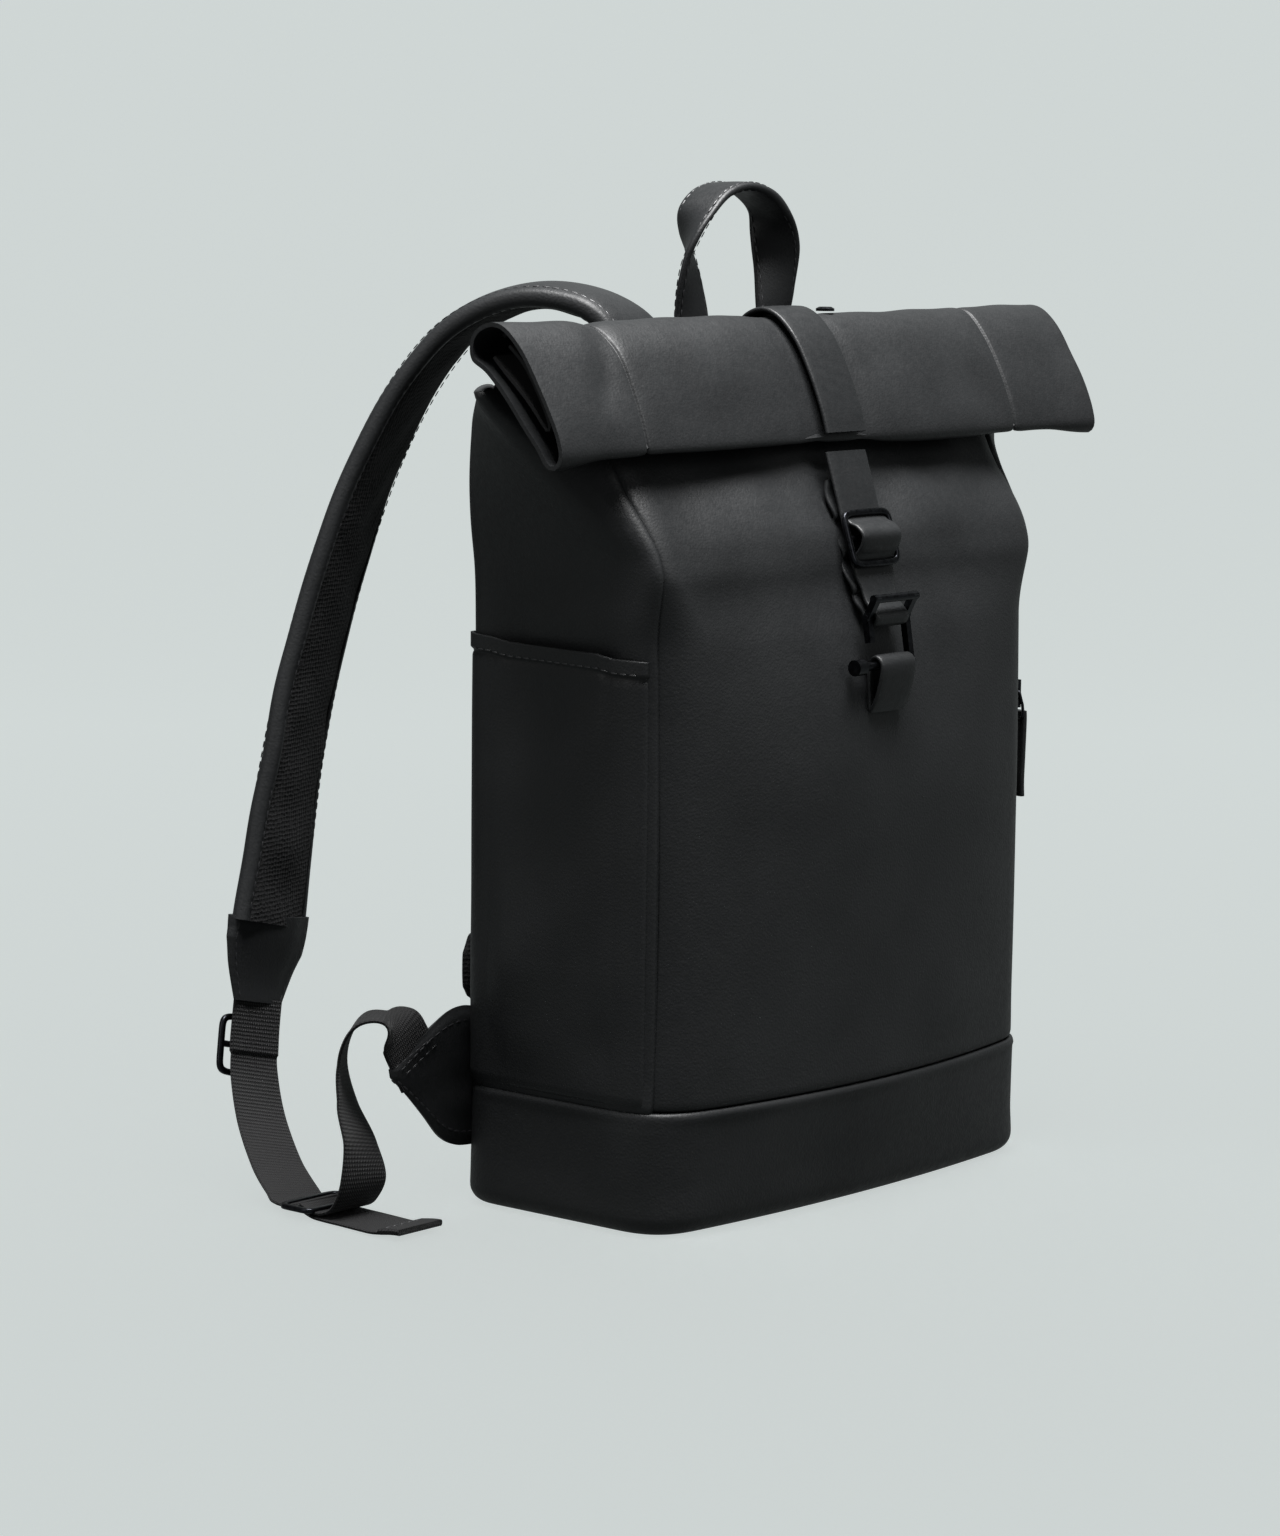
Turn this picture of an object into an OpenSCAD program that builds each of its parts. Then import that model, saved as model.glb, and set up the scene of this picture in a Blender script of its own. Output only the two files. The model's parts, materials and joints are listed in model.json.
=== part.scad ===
// Roll-top leather backpack: a soft box on a stiff base, whose top is folded over and strapped down.
// Frame: X to the right seen from the front, Y to the back, Z up. Origin: middle of the base, on the floor.

/* [Bag] */
// Width of the base across the front
bag_w = 290; // [270:5:310]
// Depth of the base at the corners
bag_d = 129; // [125:1:135]
// Height of the stiff base band
band_h = 58; // [45:1:70]
// Thickness of a leather panel with its backing
leather_t = 3; // [2:0.1:3.2]

/* [Roll top] */
// Half the length of the roll, end to end
roll_half = 204; // [200:1:208]
// Width of the closure strap
closure_w = 30; // [24:1:32]

/* [Shoulder straps] */
// Width of the padded part
pad_w = 56; // [50:1:58]
// Thickness of the padding under the leather
pad_t = 9; // [7:0.5:10]
// Width of the webbing
webbing_w = 30; // [26:1:32]
// Thickness of the webbing
webbing_t = 1.8; // [1.4:0.1:2]

/* [Handle] */
// Width of the carry handle
handle_w = 24; // [20:1:26]
// Thickness of the carry handle
handle_t = 4; // [3:0.5:5]

/* [Hidden] */
$fn = 32;
gap = 0.3;             // clearance between two bodies
seam_gap = 0.02;       // share of a corner's curve left open at a seam
panel_inset = 2;       // the panels stand this far inside the base band's outline
lining_t = 1;
hinge_y = 2;           // crease that the roll top folds about
hinge_z = 399.5;
closure_y = -53;       // where the closure strap leaves the roll
closure_z = 357;
closure_tilt = -18;    // lean of the closure strap from upright, in degrees
bar_r = 2;             // radius of the bars of the closure hardware
arm_r = 1.7;           // radius of the arms that join them
hook_bar = 82;         // distance down the closure strap to the bar that its end goes round
hook_inner = 12.4;     // half the clear width between the arms of the hook
tab_w = 26;            // width of the keeper tab
knob_x = 25;           // the knob stands this far left of the middle, past the open side of the hook
rod_y = -82;           // bar of the hook that the keeper tab holds
rod_z = 257;
zip_top = 228;         // height of the zip slider when the zip is closed
zip_x = 145;           // middle of the zip, at the front right corner
zip_y = -44;
zip_turn = 20;         // the zip faces this far round from +X towards the front
black = [0.10, 0.10, 0.105];
soot = [0.05, 0.05, 0.055];
gunmetal = [0.16, 0.16, 0.17];

// ---- Small functions ----

function unit(v) = v / norm(v);
function mix(a, b, t) = a + (b - a) * t;
function steps(from, to, n) = [for (i = [0:n]) mix(from, to, i / n)];
// A soft corner: the curve that leaves a, heads for the corner c and arrives at b
function corner_point(a, c, b, t) = (1 - t) * (1 - t) * a + 2 * t * (1 - t) * c + t * t * b;
// A smooth line through points p: n points to each stretch (Catmull-Rom)
function along(p, i, t) =
    let (a = p[max(i - 1, 0)], b = p[i], c = p[i + 1], d = p[min(i + 2, len(p) - 1)])
    0.5 * (2 * b + (c - a) * t + (2 * a - 5 * b + 4 * c - d) * t * t + (3 * b - 3 * c + d - a) * t * t * t);
function smooth_line(p, n) =
    concat([for (i = [0:len(p) - 2], k = [0:n - 1]) along(p, i, k / n)], [p[len(p) - 1]]);

// ---- The bag's outline at height z ----

// Distance of each corner of the outline from the middle planes, and how far its curve is cut back
function front_y(z) = lookup(z, [[0, -64.5], [58, -62.5], [300, -62.5], [315, -59], [350, -36], [388, -11], [398, -4]]);
function back_y(z) = lookup(z, [[0, 64.5], [58, 62.5], [310, 62.5], [345, 56], [370, 44], [388, 22], [398, 5]]);
function fold_y(z) = lookup(z, [[0, 0], [270, 0], [310, -38], [330, -28], [350, -16], [388, -2], [398, 1]]);
function fold_out(z) = lookup(z, [[0, 0], [290, 0], [310, 3], [325, 12], [350, 29], [370, 45], [388, 60], [398, 61]]);
function back_out(z) = lookup(z, [[0, 0], [300, 0], [345, 8], [370, 16], [388, 26], [398, 30]]);
function front_cut(z) = lookup(z, [[0, 34], [300, 32], [325, 20], [350, 12], [388, 7], [398, 3]]);
function back_cut(z) = lookup(z, [[0, 24], [345, 24], [388, 12], [398, 4]]);
function fold_cut(z) = lookup(z, [[0, 28], [270, 28], [310, 10], [398, 7]]);
// How far the middle of the front bellies out: full below, pulled in by the closure strap above
function belly(z) = lookup(z, [[0, 10], [58, 19], [190, 19], [240, 15], [270, 10.5], [300, 4], [325, 6],
    [350, 8], [388, 2], [398, 0]]);
function half_w(z) = bag_w / 2 - (z > band_h ? panel_inset : 0);

// Corners of the right half, moved inwards by inset; dent pulls the side in
function front_corner(z, inset) = [half_w(z) - inset, front_y(z) + inset];
function back_corner(z, inset) = [half_w(z) + back_out(z) - inset, back_y(z) - inset];
function fold_corner(z, inset, dent) =
    [half_w(z) + fold_out(z) - inset * (1 + fold_out(z) / 20) - dent, fold_y(z)];
function bellied(p, z) = [p[0], p[1] - belly(z) * max(0, 1 - pow(p[0] / half_w(z), 2))];

// How far a corner's curve is cut back: no more than the edges beside it leave room for
function cut_of(full, a, b) = min(full, 0.45 * norm(a - b));

// Right half of the front, from the middle out to share s of the corner's curve
function half_front(z, inset, s) =
    let (c = front_corner(z, inset), k = fold_corner(z, inset, 0), cut = cut_of(front_cut(z), c, k),
         a = c + [-cut, 0], b = c + unit(k - c) * cut)
    [each [for (x = steps(0, 1, 5)) bellied([a[0] * x, a[1]], z)],
     each [for (t = steps(s / 4, s, 3)) bellied(corner_point(a, c, b, t), z)]];
// Right side, from share s of the front corner's curve back to share e of the back corner's
function side_line(z, inset, dent, s, e) =
    let (f = front_corner(z, inset), k = fold_corner(z, inset, dent), b = back_corner(z, inset),
         fc = cut_of(front_cut(z), f, k), kc = cut_of(cut_of(fold_cut(z), f, k), k, b),
         bc = cut_of(back_cut(z), k, b),
         fk = unit(k - f), kb = unit(b - k))
    [each [for (t = steps(s, 1, 3)) bellied(corner_point(f + [-fc, 0], f, f + fk * fc, t), z)],
     each [for (t = steps(0, 1, 4)) corner_point(k - fk * kc, k, k + kb * kc, t)],
     each [for (t = steps(0, e, 3)) corner_point(b - kb * bc, b, b + [-bc, 0], t)]];
// Right half of the back, from share e of the corner's curve in to the middle
function half_back(z, inset, e) =
    let (b = back_corner(z, inset), k = fold_corner(z, inset, 0), cut = cut_of(back_cut(z), k, b), kb = unit(b - k))
    [each [for (t = steps(e, 1, 3)) corner_point(b - kb * cut, b, b + [-cut, 0], t)],
     each [for (x = steps(0.75, 0, 3)) [(b[0] - cut) * x, b[1]]]];

// The whole of a half line and its mirror image, the middle point once
function both(half) = concat([for (i = [len(half) - 1:-1:1]) [-half[i][0], half[i][1]]], half);
function at_height(line, z) = [for (p = line) [p[0], p[1], z]];

front_share = 0.6;     // where the corner seam lies on the front corner's curve, counted from the front
back_share = 0.5;
function front_line(z, inset) = both(half_front(z, inset, front_share - seam_gap));
function back_line(z, inset) =
    let (h = half_back(z, inset, back_share + seam_gap))
    concat(h, [for (i = [len(h) - 2:-1:0]) [-h[i][0], h[i][1]]]);
function panel_side(z, inset, dent) = side_line(z, inset, dent, front_share + seam_gap, back_share - seam_gap);
// The closed outline, counterclockwise seen from above
function outline(z, inset) =
    let (f = both(half_front(z, inset, front_share)), s = side_line(z, inset, 0, front_share, back_share),
         b = half_back(z, inset, back_share), inner = function(l) [for (i = [1:len(l) - 1]) l[i]])
    concat(f, inner(s), inner(b), [for (i = [len(b) - 2:-1:0]) [-b[i][0], b[i][1]]],
           [for (i = [len(s) - 2:-1:1]) [-s[i][0], s[i][1]]]);

// ---- Solids from rows of points ----

// A curved sheet: outer and inner are grids of the same size
module sheet(outer, inner) {
    rows = len(outer);
    cols = len(outer[0]);
    n = rows * cols;
    function id(side, r, c) = side * n + r * cols + c;
    function face(a, b, c, d) = [[a, b, c], [a, c, d]];
    polyhedron(
        points = [for (g = [outer, inner], row = g, p = row) p],
        faces = [
            for (r = [0:rows - 2], c = [0:cols - 2]) each concat(
                face(id(0, r, c), id(0, r + 1, c), id(0, r + 1, c + 1), id(0, r, c + 1)),
                face(id(1, r, c), id(1, r, c + 1), id(1, r + 1, c + 1), id(1, r + 1, c))),
            for (c = [0:cols - 2]) each concat(
                face(id(0, 0, c), id(0, 0, c + 1), id(1, 0, c + 1), id(1, 0, c)),
                face(id(0, rows - 1, c), id(1, rows - 1, c), id(1, rows - 1, c + 1), id(0, rows - 1, c + 1))),
            for (r = [0:rows - 2]) each concat(
                face(id(0, r, 0), id(1, r, 0), id(1, r + 1, 0), id(0, r + 1, 0)),
                face(id(0, r, cols - 1), id(0, r + 1, cols - 1), id(1, r + 1, cols - 1), id(1, r, cols - 1)))
        ]);
}

// A stack of closed rings with a flat cap at each end
module stack(rings) {
    n = len(rings[0]);
    m = len(rings);
    polyhedron(
        points = [for (ring = rings, p = ring) p],
        faces = [
            [for (i = [0:n - 1]) i],
            [for (i = [n - 1:-1:0]) (m - 1) * n + i],
            for (r = [0:m - 2], i = [0:n - 1]) let (j = (i + 1) % n) each
                [[r * n + i, (r + 1) * n + j, r * n + j], [r * n + i, (r + 1) * n + i, (r + 1) * n + j]]
        ]);
}

// A strap: centre points, the way its width runs at each, its width, and its two faces' distances
module ribbon(points, ways, width, low, high) {
    line = smooth_line(points, 3);
    way = smooth_line(ways, 3);
    last = len(line) - 1;
    rings = [for (i = [0:last])
        let (t = unit(line[min(i + 1, last)] - line[max(i - 1, 0)]),
             w = unit(way[i] - t * (way[i] * t)),
             u = cross(w, t))
        [for (c = [[-1, high], [1, high], [1, low], [-1, low]])
            line[i] + w * c[0] * (is_list(width) ? mix(width[0], width[1], i / last) : width) / 2 + u * c[1]]];
    stack(rings);
}

// A strip whose edge shows the outline points, in the Y-Z plane, as wide as width
module strip(width, points) {
    rotate([90, 0, 90]) translate([0, 0, -width / 2]) linear_extrude(width) polygon(points);
}

// ---- Bag ----

panel_rows = [band_h + gap, 90, 140, 190, 240, 270, 290, 302, 314, 326, 338, 350, 364, 376, 388];
pocket_rows = [band_h + gap, 80, 120, 160, 200, 240, 262];

// A cup: rings up the outside, then rings down the inside to its floor; each is [height, inset]
module cup(outside, inside) {
    stack([for (s = concat(outside, inside)) at_height(outline(s[0], s[1]), s[0])]);
}

module base_cover() {
    color(black) cup([[0, 9], [2, 4], [6, 1], [12, 0], [30, 0], [band_h, 0]],
        [[band_h, 3.5], [14, 3.5], [4, 11]]);
}

module base_board() {
    color("dimgray") stack([for (z = [4 + gap, 6]) at_height(outline(z, 13), z)]);
}

module front_panel() {
    color(black) sheet(
        [for (z = panel_rows) at_height(front_line(z, 0), z)],
        [for (z = panel_rows) at_height(front_line(z, leather_t), z)]);
}

// dent_at: how far the side is pulled in at height z, which leaves room in the side pocket
function dent_at(z) = lookup(z, [[58, 0], [75, 6], [250, 6], [285, 0]]);

module side_panel(dented) {
    color(black) sheet(
        [for (z = panel_rows) at_height(panel_side(z, 0, dented * dent_at(z)), z)],
        [for (z = panel_rows) at_height(panel_side(z, leather_t, dented * dent_at(z)), z)]);
}

module left_side_panel() {
    mirror([1, 0, 0]) side_panel(1);
}

module right_side_panel() {
    side_panel(0);
}

module back_panel() {
    rows = concat(panel_rows, [394, 398]);
    color(black) sheet(
        [for (z = rows) at_height(back_line(z, 0), z)],
        [for (z = rows) at_height(back_line(z, leather_t), z)]);
}

module lining() {
    rows = [68, 90, 140, 200, 264, 290, 302, 314, 326, 338, 350, 364, 376, 386];
    // clear of the dented side up to the side pocket's mouth
    inset = function(z) leather_t + gap + lookup(z, [[58, 2.4], [68, 6.4], [264, 6.4], [290, 1.5]]);
    color("dimgray") cup(
        concat([[6 + gap, 14], [14, 5.5]], [for (z = rows) [z, inset(z)]]),
        concat([for (i = [len(rows) - 1:-1:0]) [rows[i], inset(rows[i]) + lining_t]], [[15, 6.5], [7 + gap, 15]]));
}

module laptop_sleeve() {
    color("dimgray") difference() {
        translate([-112, 24, 13]) cube([224, 23, 241]);
        translate([-109, 28, 16]) cube([218, 30, 250]);
    }
}

module inner_pocket() {
    color("dimgray") difference() {
        translate([-80, -54, 110]) cube([160, 12, 120]);
        translate([-78, -60, 112]) cube([156, 16, 130]);
    }
}

module left_side_pocket() {
    top_at = function(i) mix(266, 272, i / 11);   // its top edge rises a little to the back
    stretch = function(z, i) band_h + gap + (z - band_h - gap) / (262 - band_h - gap) * (top_at(i) - band_h - gap);
    raised = function(z, out)
        let (l = side_line(z, -out, 0, front_share + 0.05, back_share))
        [for (i = [0:len(l) - 1]) let (swell = 3 * sin(180 * i / (len(l) - 1)))
            [l[i][0] + swell * min(1, (z - band_h) / 60), l[i][1], stretch(z, i)]];
    color(black) mirror([1, 0, 0]) sheet(
        [for (z = pocket_rows) raised(z, 2.3)],
        [for (z = pocket_rows) raised(z, gap)]);
}

// Places its children at the zip, with local -Y pointing out of the bag
module at_zip(z) {
    translate([zip_x, zip_y, z]) rotate([0, 0, 90 - zip_turn]) children();
}

module zip_tape() {
    color(soot) at_zip(0) {
        translate([-9, -0.5, 70]) cube([18, 1, 166]);
        translate([-2, -1.7, 70]) cube([4, 1.2, 166]);
    }
}

module zip_slider() {
    color(gunmetal) at_zip(zip_top) difference() {
        translate([-4.5, -6, -7]) cube([9, 4, 14]);
        translate([-10, -4.9, 1]) rotate([0, 90, 0]) cylinder(h = 20, r = 0.9);
    }
}

module zip_pull() {
    color(gunmetal) at_zip(zip_top) {
        translate([-5.4, -4.9, 1]) rotate([0, 90, 0]) cylinder(h = 10.8, r = 0.8);
        for (x = [-5.4, 4.8]) translate([x, -6.9, -12]) cube([0.6, 2.8, 13.6]);
        translate([-5.4, -8.8, -12]) cube([10.8, 2, 3]);
    }
    color(black) at_zip(zip_top) translate([-6, -9, -52]) cube([12, 2.4, 42]);
}

// ---- Back of the bag ----

module yoke() {
    lift = function(z, out) [for (x = steps(92, -92, 6)) [x, back_y(z) + out, z + out]];
    color(black) sheet(
        [for (z = [362, 368, 374, 380, 385]) lift(z, 2)],
        [for (z = [362, 368, 374, 380, 385]) lift(z, gap)]);
}

module back_pad(x) {
    color(soot) stack([for (s = [[62.9, 0], [68, 0], [71, 3], [73, 9]])
        [for (a = [345:-15:0]) [x + (44 - s[1]) * sgn_pow(cos(a), 0.5), s[0], 235 + (78 - s[1]) * sgn_pow(sin(a), 0.5)]]]);
}
function sgn_pow(v, e) = sign(v) * pow(abs(v), e);

module left_back_pad() {
    back_pad(-62);
}

module right_back_pad() {
    back_pad(62);
}

module lumbar_pad() {
    color(soot) stack([for (s = [[62.9, 0], [69, 0], [73, 3], [75, 8]])
        [for (a = [345:-15:0]) [(137 - s[1]) * sgn_pow(cos(a), 0.4), s[0], 110 + (27 - s[1]) * sgn_pow(sin(a), 0.6)]]]);
}

module luggage_strap() {
    color(black) translate([0, 0, 148]) linear_extrude(46) polygon([
        [-138, 62.9], [-126, 62.9], [-108, 82], [108, 82], [126, 62.9], [138, 62.9],
        [138, 65], [127, 65.2], [109, 84.4], [-109, 84.4], [-127, 65.2], [-138, 65]]);
}

module wing() {
    color(black) rotate([90, 0, 0]) translate([0, 0, -61.5]) linear_extrude(3)
        polygon([[143.5, 28], [143.8, 92], [150, 94], [166, 86], [193, 70], [191, 66], [158, 32]]);
}

module right_wing() {
    wing();
}

module left_wing() {
    mirror([1, 0, 0]) wing();
}

// ---- Roll top ----

// Outline of the folded top seen from its end, as Y and Z, back edge first, over the top and down the front
roll_edge = [[0.5, 401.5], [1.5, 410], [-3, 416.5], [-12, 419.5], [-21, 416.5], [-31, 406.5], [-40, 391],
    [-47, 375], [-50.5, 364], [-50, 359.5], [-46.5, 359]];
roll_back = [[-40, 367.5], [-24, 383], [-9, 396]];
function shifted(line, d) = [for (i = [0:len(line) - 1])
    let (t = unit(line[min(i + 1, len(line) - 1)] - line[max(i - 1, 0)])) line[i] + [t[1], -t[0]] * d];

module roll_outer() {
    loop = concat(roll_edge, roll_back);
    inside = shifted(loop, -2.2);
    color(black) strip(2 * roll_half,
        concat(loop, [for (i = [len(inside) - 1:-1:0]) inside[i]]));
}

module roll_inner() {
    fold = [[-10, 404], [-27, 388], [-39.5, 374.5], [-42, 372.5], [-42.6, 375.5], [-37.5, 386], [-28, 399], [-18, 408]];
    over = shifted(fold, 0.9);
    under = shifted(fold, -0.9);
    color(soot) strip(2 * roll_half - 8, concat(over, [for (i = [len(under) - 1:-1:0]) under[i]]));
}

module mouth_stiffener() {
    color("dimgray") strip(2 * roll_half - 30, [[-12, 413.8], [-10.5, 412.2], [-8, 413], [-5.5, 411.5], [-4.5, 413.2], [-8, 415.2]]);
}

module closure_strap_top() {
    inner = shifted(roll_edge, gap + 0.1);
    outer = shifted(roll_edge, gap + 2.4);
    n = len(roll_edge) - 2;
    color(black) strip(closure_w, concat([for (i = [0:n]) inner[i]], [for (i = [n:-1:0]) outer[i]]));
}

module closure_anchor() {
    color(black) strip(closure_w, [[37, 381], [25, 393.4], [16, 399.6], [17.2, 401.6], [26.6, 395.2], [38.8, 382.8]]);
}

module roll_rivet() {
    color(gunmetal) translate([34, -12, 419.4 + gap]) {
        cylinder(h = 1.2, r = 4.5);
        translate([0, 0, 1.2]) cylinder(h = 0.8, r1 = 4.5, r2 = 3);
    }
}

// ---- Closure hardware; on_strap places its children s down the hanging part of the strap ----

module on_strap(s) {
    translate([0, closure_y, closure_z]) rotate([closure_tilt, 0, 0]) translate([0, 0, -s]) children();
}

module closure_strap() {
    color(black) on_strap(0) difference() {
        union() {
            translate([-closure_w / 2, 0, -hook_bar + 16]) cube([closure_w, 2.2, hook_bar - 17]);
            translate([-hook_inner, 0, -hook_bar + 3]) cube([2 * hook_inner, 2.2, 14]);
            translate([-hook_inner, 0, -hook_bar]) rotate([0, 90, 0]) cylinder(h = 2 * hook_inner, r = 4.5);
        }
        translate([-closure_w, 0, -hook_bar]) rotate([0, 90, 0]) cylinder(h = 2 * closure_w, r = bar_r + gap);
    }
}

module closure_slider() {
    color(gunmetal) on_strap(44) {
        difference() {
            translate([-18.5, -3.4, -14]) cube([37, 3, 28]);
            for (z = [-11, 1.5]) translate([-15.5, -5, z]) cube([31, 6, 9.5]);
        }
    }
}

module slider_loop() {
    color(black) on_strap(44) difference() {
        translate([-closure_w / 2, -3.4, 0]) rotate([0, 90, 0]) cylinder(h = closure_w, r = 6);
        translate([-closure_w, -3.4 + 3, -10]) cube([2 * closure_w, 12, 20]);
        translate([-closure_w, -3.5, -1.6]) cube([2 * closure_w, 4, 3.2]);
        translate([-closure_w, -3.4, 0]) rotate([0, 90, 0]) cylinder(h = 2 * closure_w, r = 3.8);
    }
}

bar_y = closure_y + hook_bar * sin(closure_tilt);
bar_z = closure_z - hook_bar * cos(closure_tilt);
head_y = bar_y - 1.5;        // top bar of the hook, in front of the strap
head_z = bar_z + 9.5;

module rod(y, z, x0, x1, r) {
    translate([x0, y, z]) rotate([0, 90, 0]) cylinder(h = x1 - x0, r = r);
}

// An arm of the hook: a flat bar from point a to point b of the plane at x
module arm(x, a, b) {
    d = b - a;
    translate([x, a[0], a[1]]) rotate([-atan2(d[0], d[1]), 0, 0])
        translate([-arm_r, -arm_r, -arm_r * 0.8]) cube([2 * arm_r, 2 * arm_r, norm(d) + arm_r * 1.6]);
}

module closure_hook() {
    side = hook_inner + gap + arm_r;     // middle of an arm
    end = side + arm_r + 0.6;            // end of a bar
    bar = [bar_y, bar_z];
    head = [head_y - 3.5, head_z];
    foot = [rod_y, rod_z];
    color(gunmetal) {
        rod(bar_y, bar_z, -end, end, bar_r);
        rod(head[0], head[1], -end, end, bar_r);
        rod(rod_y, rod_z, -knob_x, end, bar_r);
        rod(rod_y, rod_z, -knob_x - 3.4, -knob_x + 3, 3.8);
        arm(side, bar, head);
        arm(side, foot, bar);
        arm(-side, bar, head);
        arm(-side, mix(bar, foot, 0.45), bar);
    }
}

module keeper_tab() {
    loop_r = bar_r + gap + 2;
    color(black) translate([-1.2, 0, 0]) difference() {
        union() {
            translate([-tab_w / 2, rod_y, rod_z]) rotate([0, 90, 0]) cylinder(h = tab_w, r = loop_r);
            strip(tab_w, [[rod_y - loop_r, rod_z], [rod_y - loop_r + 0.6, 247], [-82.1, 237], [-79.8, 234],
                [-78.5, 234], [-77.8, 250], [rod_y + loop_r, rod_z]]);
        }
        translate([-20, rod_y, rod_z]) rotate([0, 90, 0]) cylinder(h = 40, r = bar_r + gap);
    }
}

// ---- Carry handle ----

handle_half = [[-31, 18, 397], [-31, 18, 415], [-32, 18, 430], [-32.5, 18, 444], [-31, 18, 457], [-26, 18, 468],
    [-15, 18, 476], [0, 18, 479]];
handle_turn = [0, 0, 12, 32, 62, 88, 90, 90];   // turn of the strap's width from X towards Y

module handle() {
    n = len(handle_half) - 1;
    points = concat(handle_half, [for (i = [n - 1:-1:0]) [-handle_half[i][0], handle_half[i][1], handle_half[i][2]]]);
    turns = concat(handle_turn, [for (i = [n - 1:-1:0]) 180 - handle_turn[i]]);
    color(black) ribbon(points, [for (a = turns) [cos(a), sin(a), 0]], handle_w, -handle_t / 2, handle_t / 2);
}

// ---- Shoulder straps: routes chosen by hand, from the yoke to the floor ----

left_pad_route = [[-48, 33, 391], [-49, 34, 401], [-52, 42, 414], [-58, 56, 423], [-66, 76, 426.5], [-74, 96, 422.5],
    [-83, 114, 412], [-91, 127, 397], [-101, 140, 372], [-112, 151, 339], [-124, 160, 297], [-136, 166.5, 249],
    [-147, 169, 202], [-157, 169, 154], [-164, 168, 123]];
left_pad_turn = [0, 10, 18, 24, 24, 24, 24, 24, 23, 22, 20, 19, 18, 15, 12];
left_tip_route = [[-164, 168, 120.9], [-169, 167.5, 104], [-173, 166, 86]];
left_upper_route = [[-173.2, 165.8, 85], [-177, 164, 68], [-181, 160, 52], [-187, 149, 33], [-195, 131, 16],
    [-202, 113, 6], [-204, 106.5, 4]];
left_lower_route = [[-180, 60.3, 80.8], [-184, 61.2, 88], [-189, 65, 94], [-195, 74, 93], [-198, 81, 84], [-199, 84, 70],
    [-200, 79, 53], [-202, 69, 36], [-204, 65, 20], [-205, 70, 8], [-205.5, 77, 4]];
left_lower_way = [[0.88, 0, 0.47], [0.85, 0.1, 0.35], [0.8, 0.6, 0], [0.8, 0.6, 0], [0.8, 0.6, 0], [0.8, 0.6, 0],
    [0.85, 0.5, 0], [0.95, 0.3, 0], [1, 0, 0], [1, 0, 0], [1, 0, 0]];
left_tail_route = [[-205.6, 76, 1.2], [-207, 62, 1.2], [-209, 42, 1.2], [-209, 24, 1.2]];
left_glide = [-205, 91, 3.6];

right_pad_route = [[50, 33, 391], [50, 36, 398], [52, 46, 403], [56, 60, 402], [62, 76, 393], [69, 92, 375],
    [77, 106, 350], [87, 120, 316], [98, 132, 277], [110, 142, 236], [122, 150, 193], [135, 155, 150],
    [147, 156, 112], [155, 154, 86]];
right_pad_turn = [0, -4, -8, -10, -12, -12, -12, -12, -12, -12, -12, -12, -12, -12];
right_tip_route = [[155.3, 153.8, 84.8], [160, 152, 68], [164, 149, 50]];
right_upper_route = [[164.2, 148.6, 49], [167, 147, 36], [173, 144, 22], [184, 137, 11], [196, 127, 6], [203, 116, 4.2],
    [204.5, 107.5, 4]];

function turned(list) = [for (a = list) [cos(a), sin(a), 0]];
function mirrored(list) = [for (p = list) [-p[0], p[1], p[2]]];
function same(way, route) = [for (p = route) way];

module strap_leather(route, turn) {
    color(black) ribbon(route, turned(turn), pad_w, pad_t / 2 + gap, pad_t / 2 + leather_t);
}

module strap_padding(route, turn) {
    color(soot) ribbon(route, turned(turn), pad_w - 4, -pad_t / 2, pad_t / 2 - 3 * gap);
}

// The leather tip narrows from the pad's width to the webbing's
module strap_tip(route, way) {
    color(black) ribbon(route, same(way, route), [pad_w - 2, webbing_w + 2], -3, 3);
}

// A flat frame with a bar across its middle: w wide, h along the strap, lying on local X and Z
module glide(w, h) {
    color(gunmetal) difference() {
        translate([-w / 2, 0, -h / 2]) cube([w, 2.6, h]);
        for (z = [-h / 2 + 3, 1.6]) translate([-w / 2 + 3, -1, z]) cube([w - 6, 5, h / 2 - 4.6]);
    }
}

module webbing(route, ways) {
    color(soot) ribbon(route, ways, webbing_w, -webbing_t / 2, webbing_t / 2);
}

module left_strap_leather() {
    strap_leather(left_pad_route, left_pad_turn);
}

module left_strap_padding() {
    strap_padding(left_pad_route, left_pad_turn);
}

module left_strap_tip() {
    strap_tip(left_tip_route, [1, 0.1, 0]);
}

module left_adjuster() {
    translate([-178.5, 165.8, 65]) rotate([-8, 0, 0]) rotate([0, 14, 0]) glide(webbing_w + 8, 30);
}

module left_webbing_upper() {
    webbing(left_upper_route, same([1, 0, 0], left_upper_route));
}

module left_triglide() {
    translate(left_glide) rotate([-90, 0, 0]) translate([0, -2.6, 0]) glide(webbing_w + 8, 22);
}

module left_webbing_lower() {
    webbing(left_lower_route, left_lower_way);
}

module left_webbing_tail() {
    webbing(left_tail_route, same([1, 0, 0], left_tail_route));
}

module right_strap_leather() {
    strap_leather(right_pad_route, right_pad_turn);
}

module right_strap_padding() {
    strap_padding(right_pad_route, right_pad_turn);
}

module right_strap_tip() {
    strap_tip(right_tip_route, [0.98, -0.2, 0]);
}

module right_adjuster() {
    translate([168, 149.4, 34]) rotate([-12, 0, 0]) rotate([0, -16, 0]) glide(webbing_w + 8, 30);
}

module right_webbing_upper() {
    webbing(right_upper_route, same([1, 0, 0], right_upper_route));
}

module right_triglide() {
    mirror([1, 0, 0]) left_triglide();
}

module right_webbing_lower() {
    webbing(mirrored(left_lower_route), mirrored(left_lower_way));
}

module right_webbing_tail() {
    mirror([1, 0, 0]) left_webbing_tail();
}

// ---- Draw ----

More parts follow.
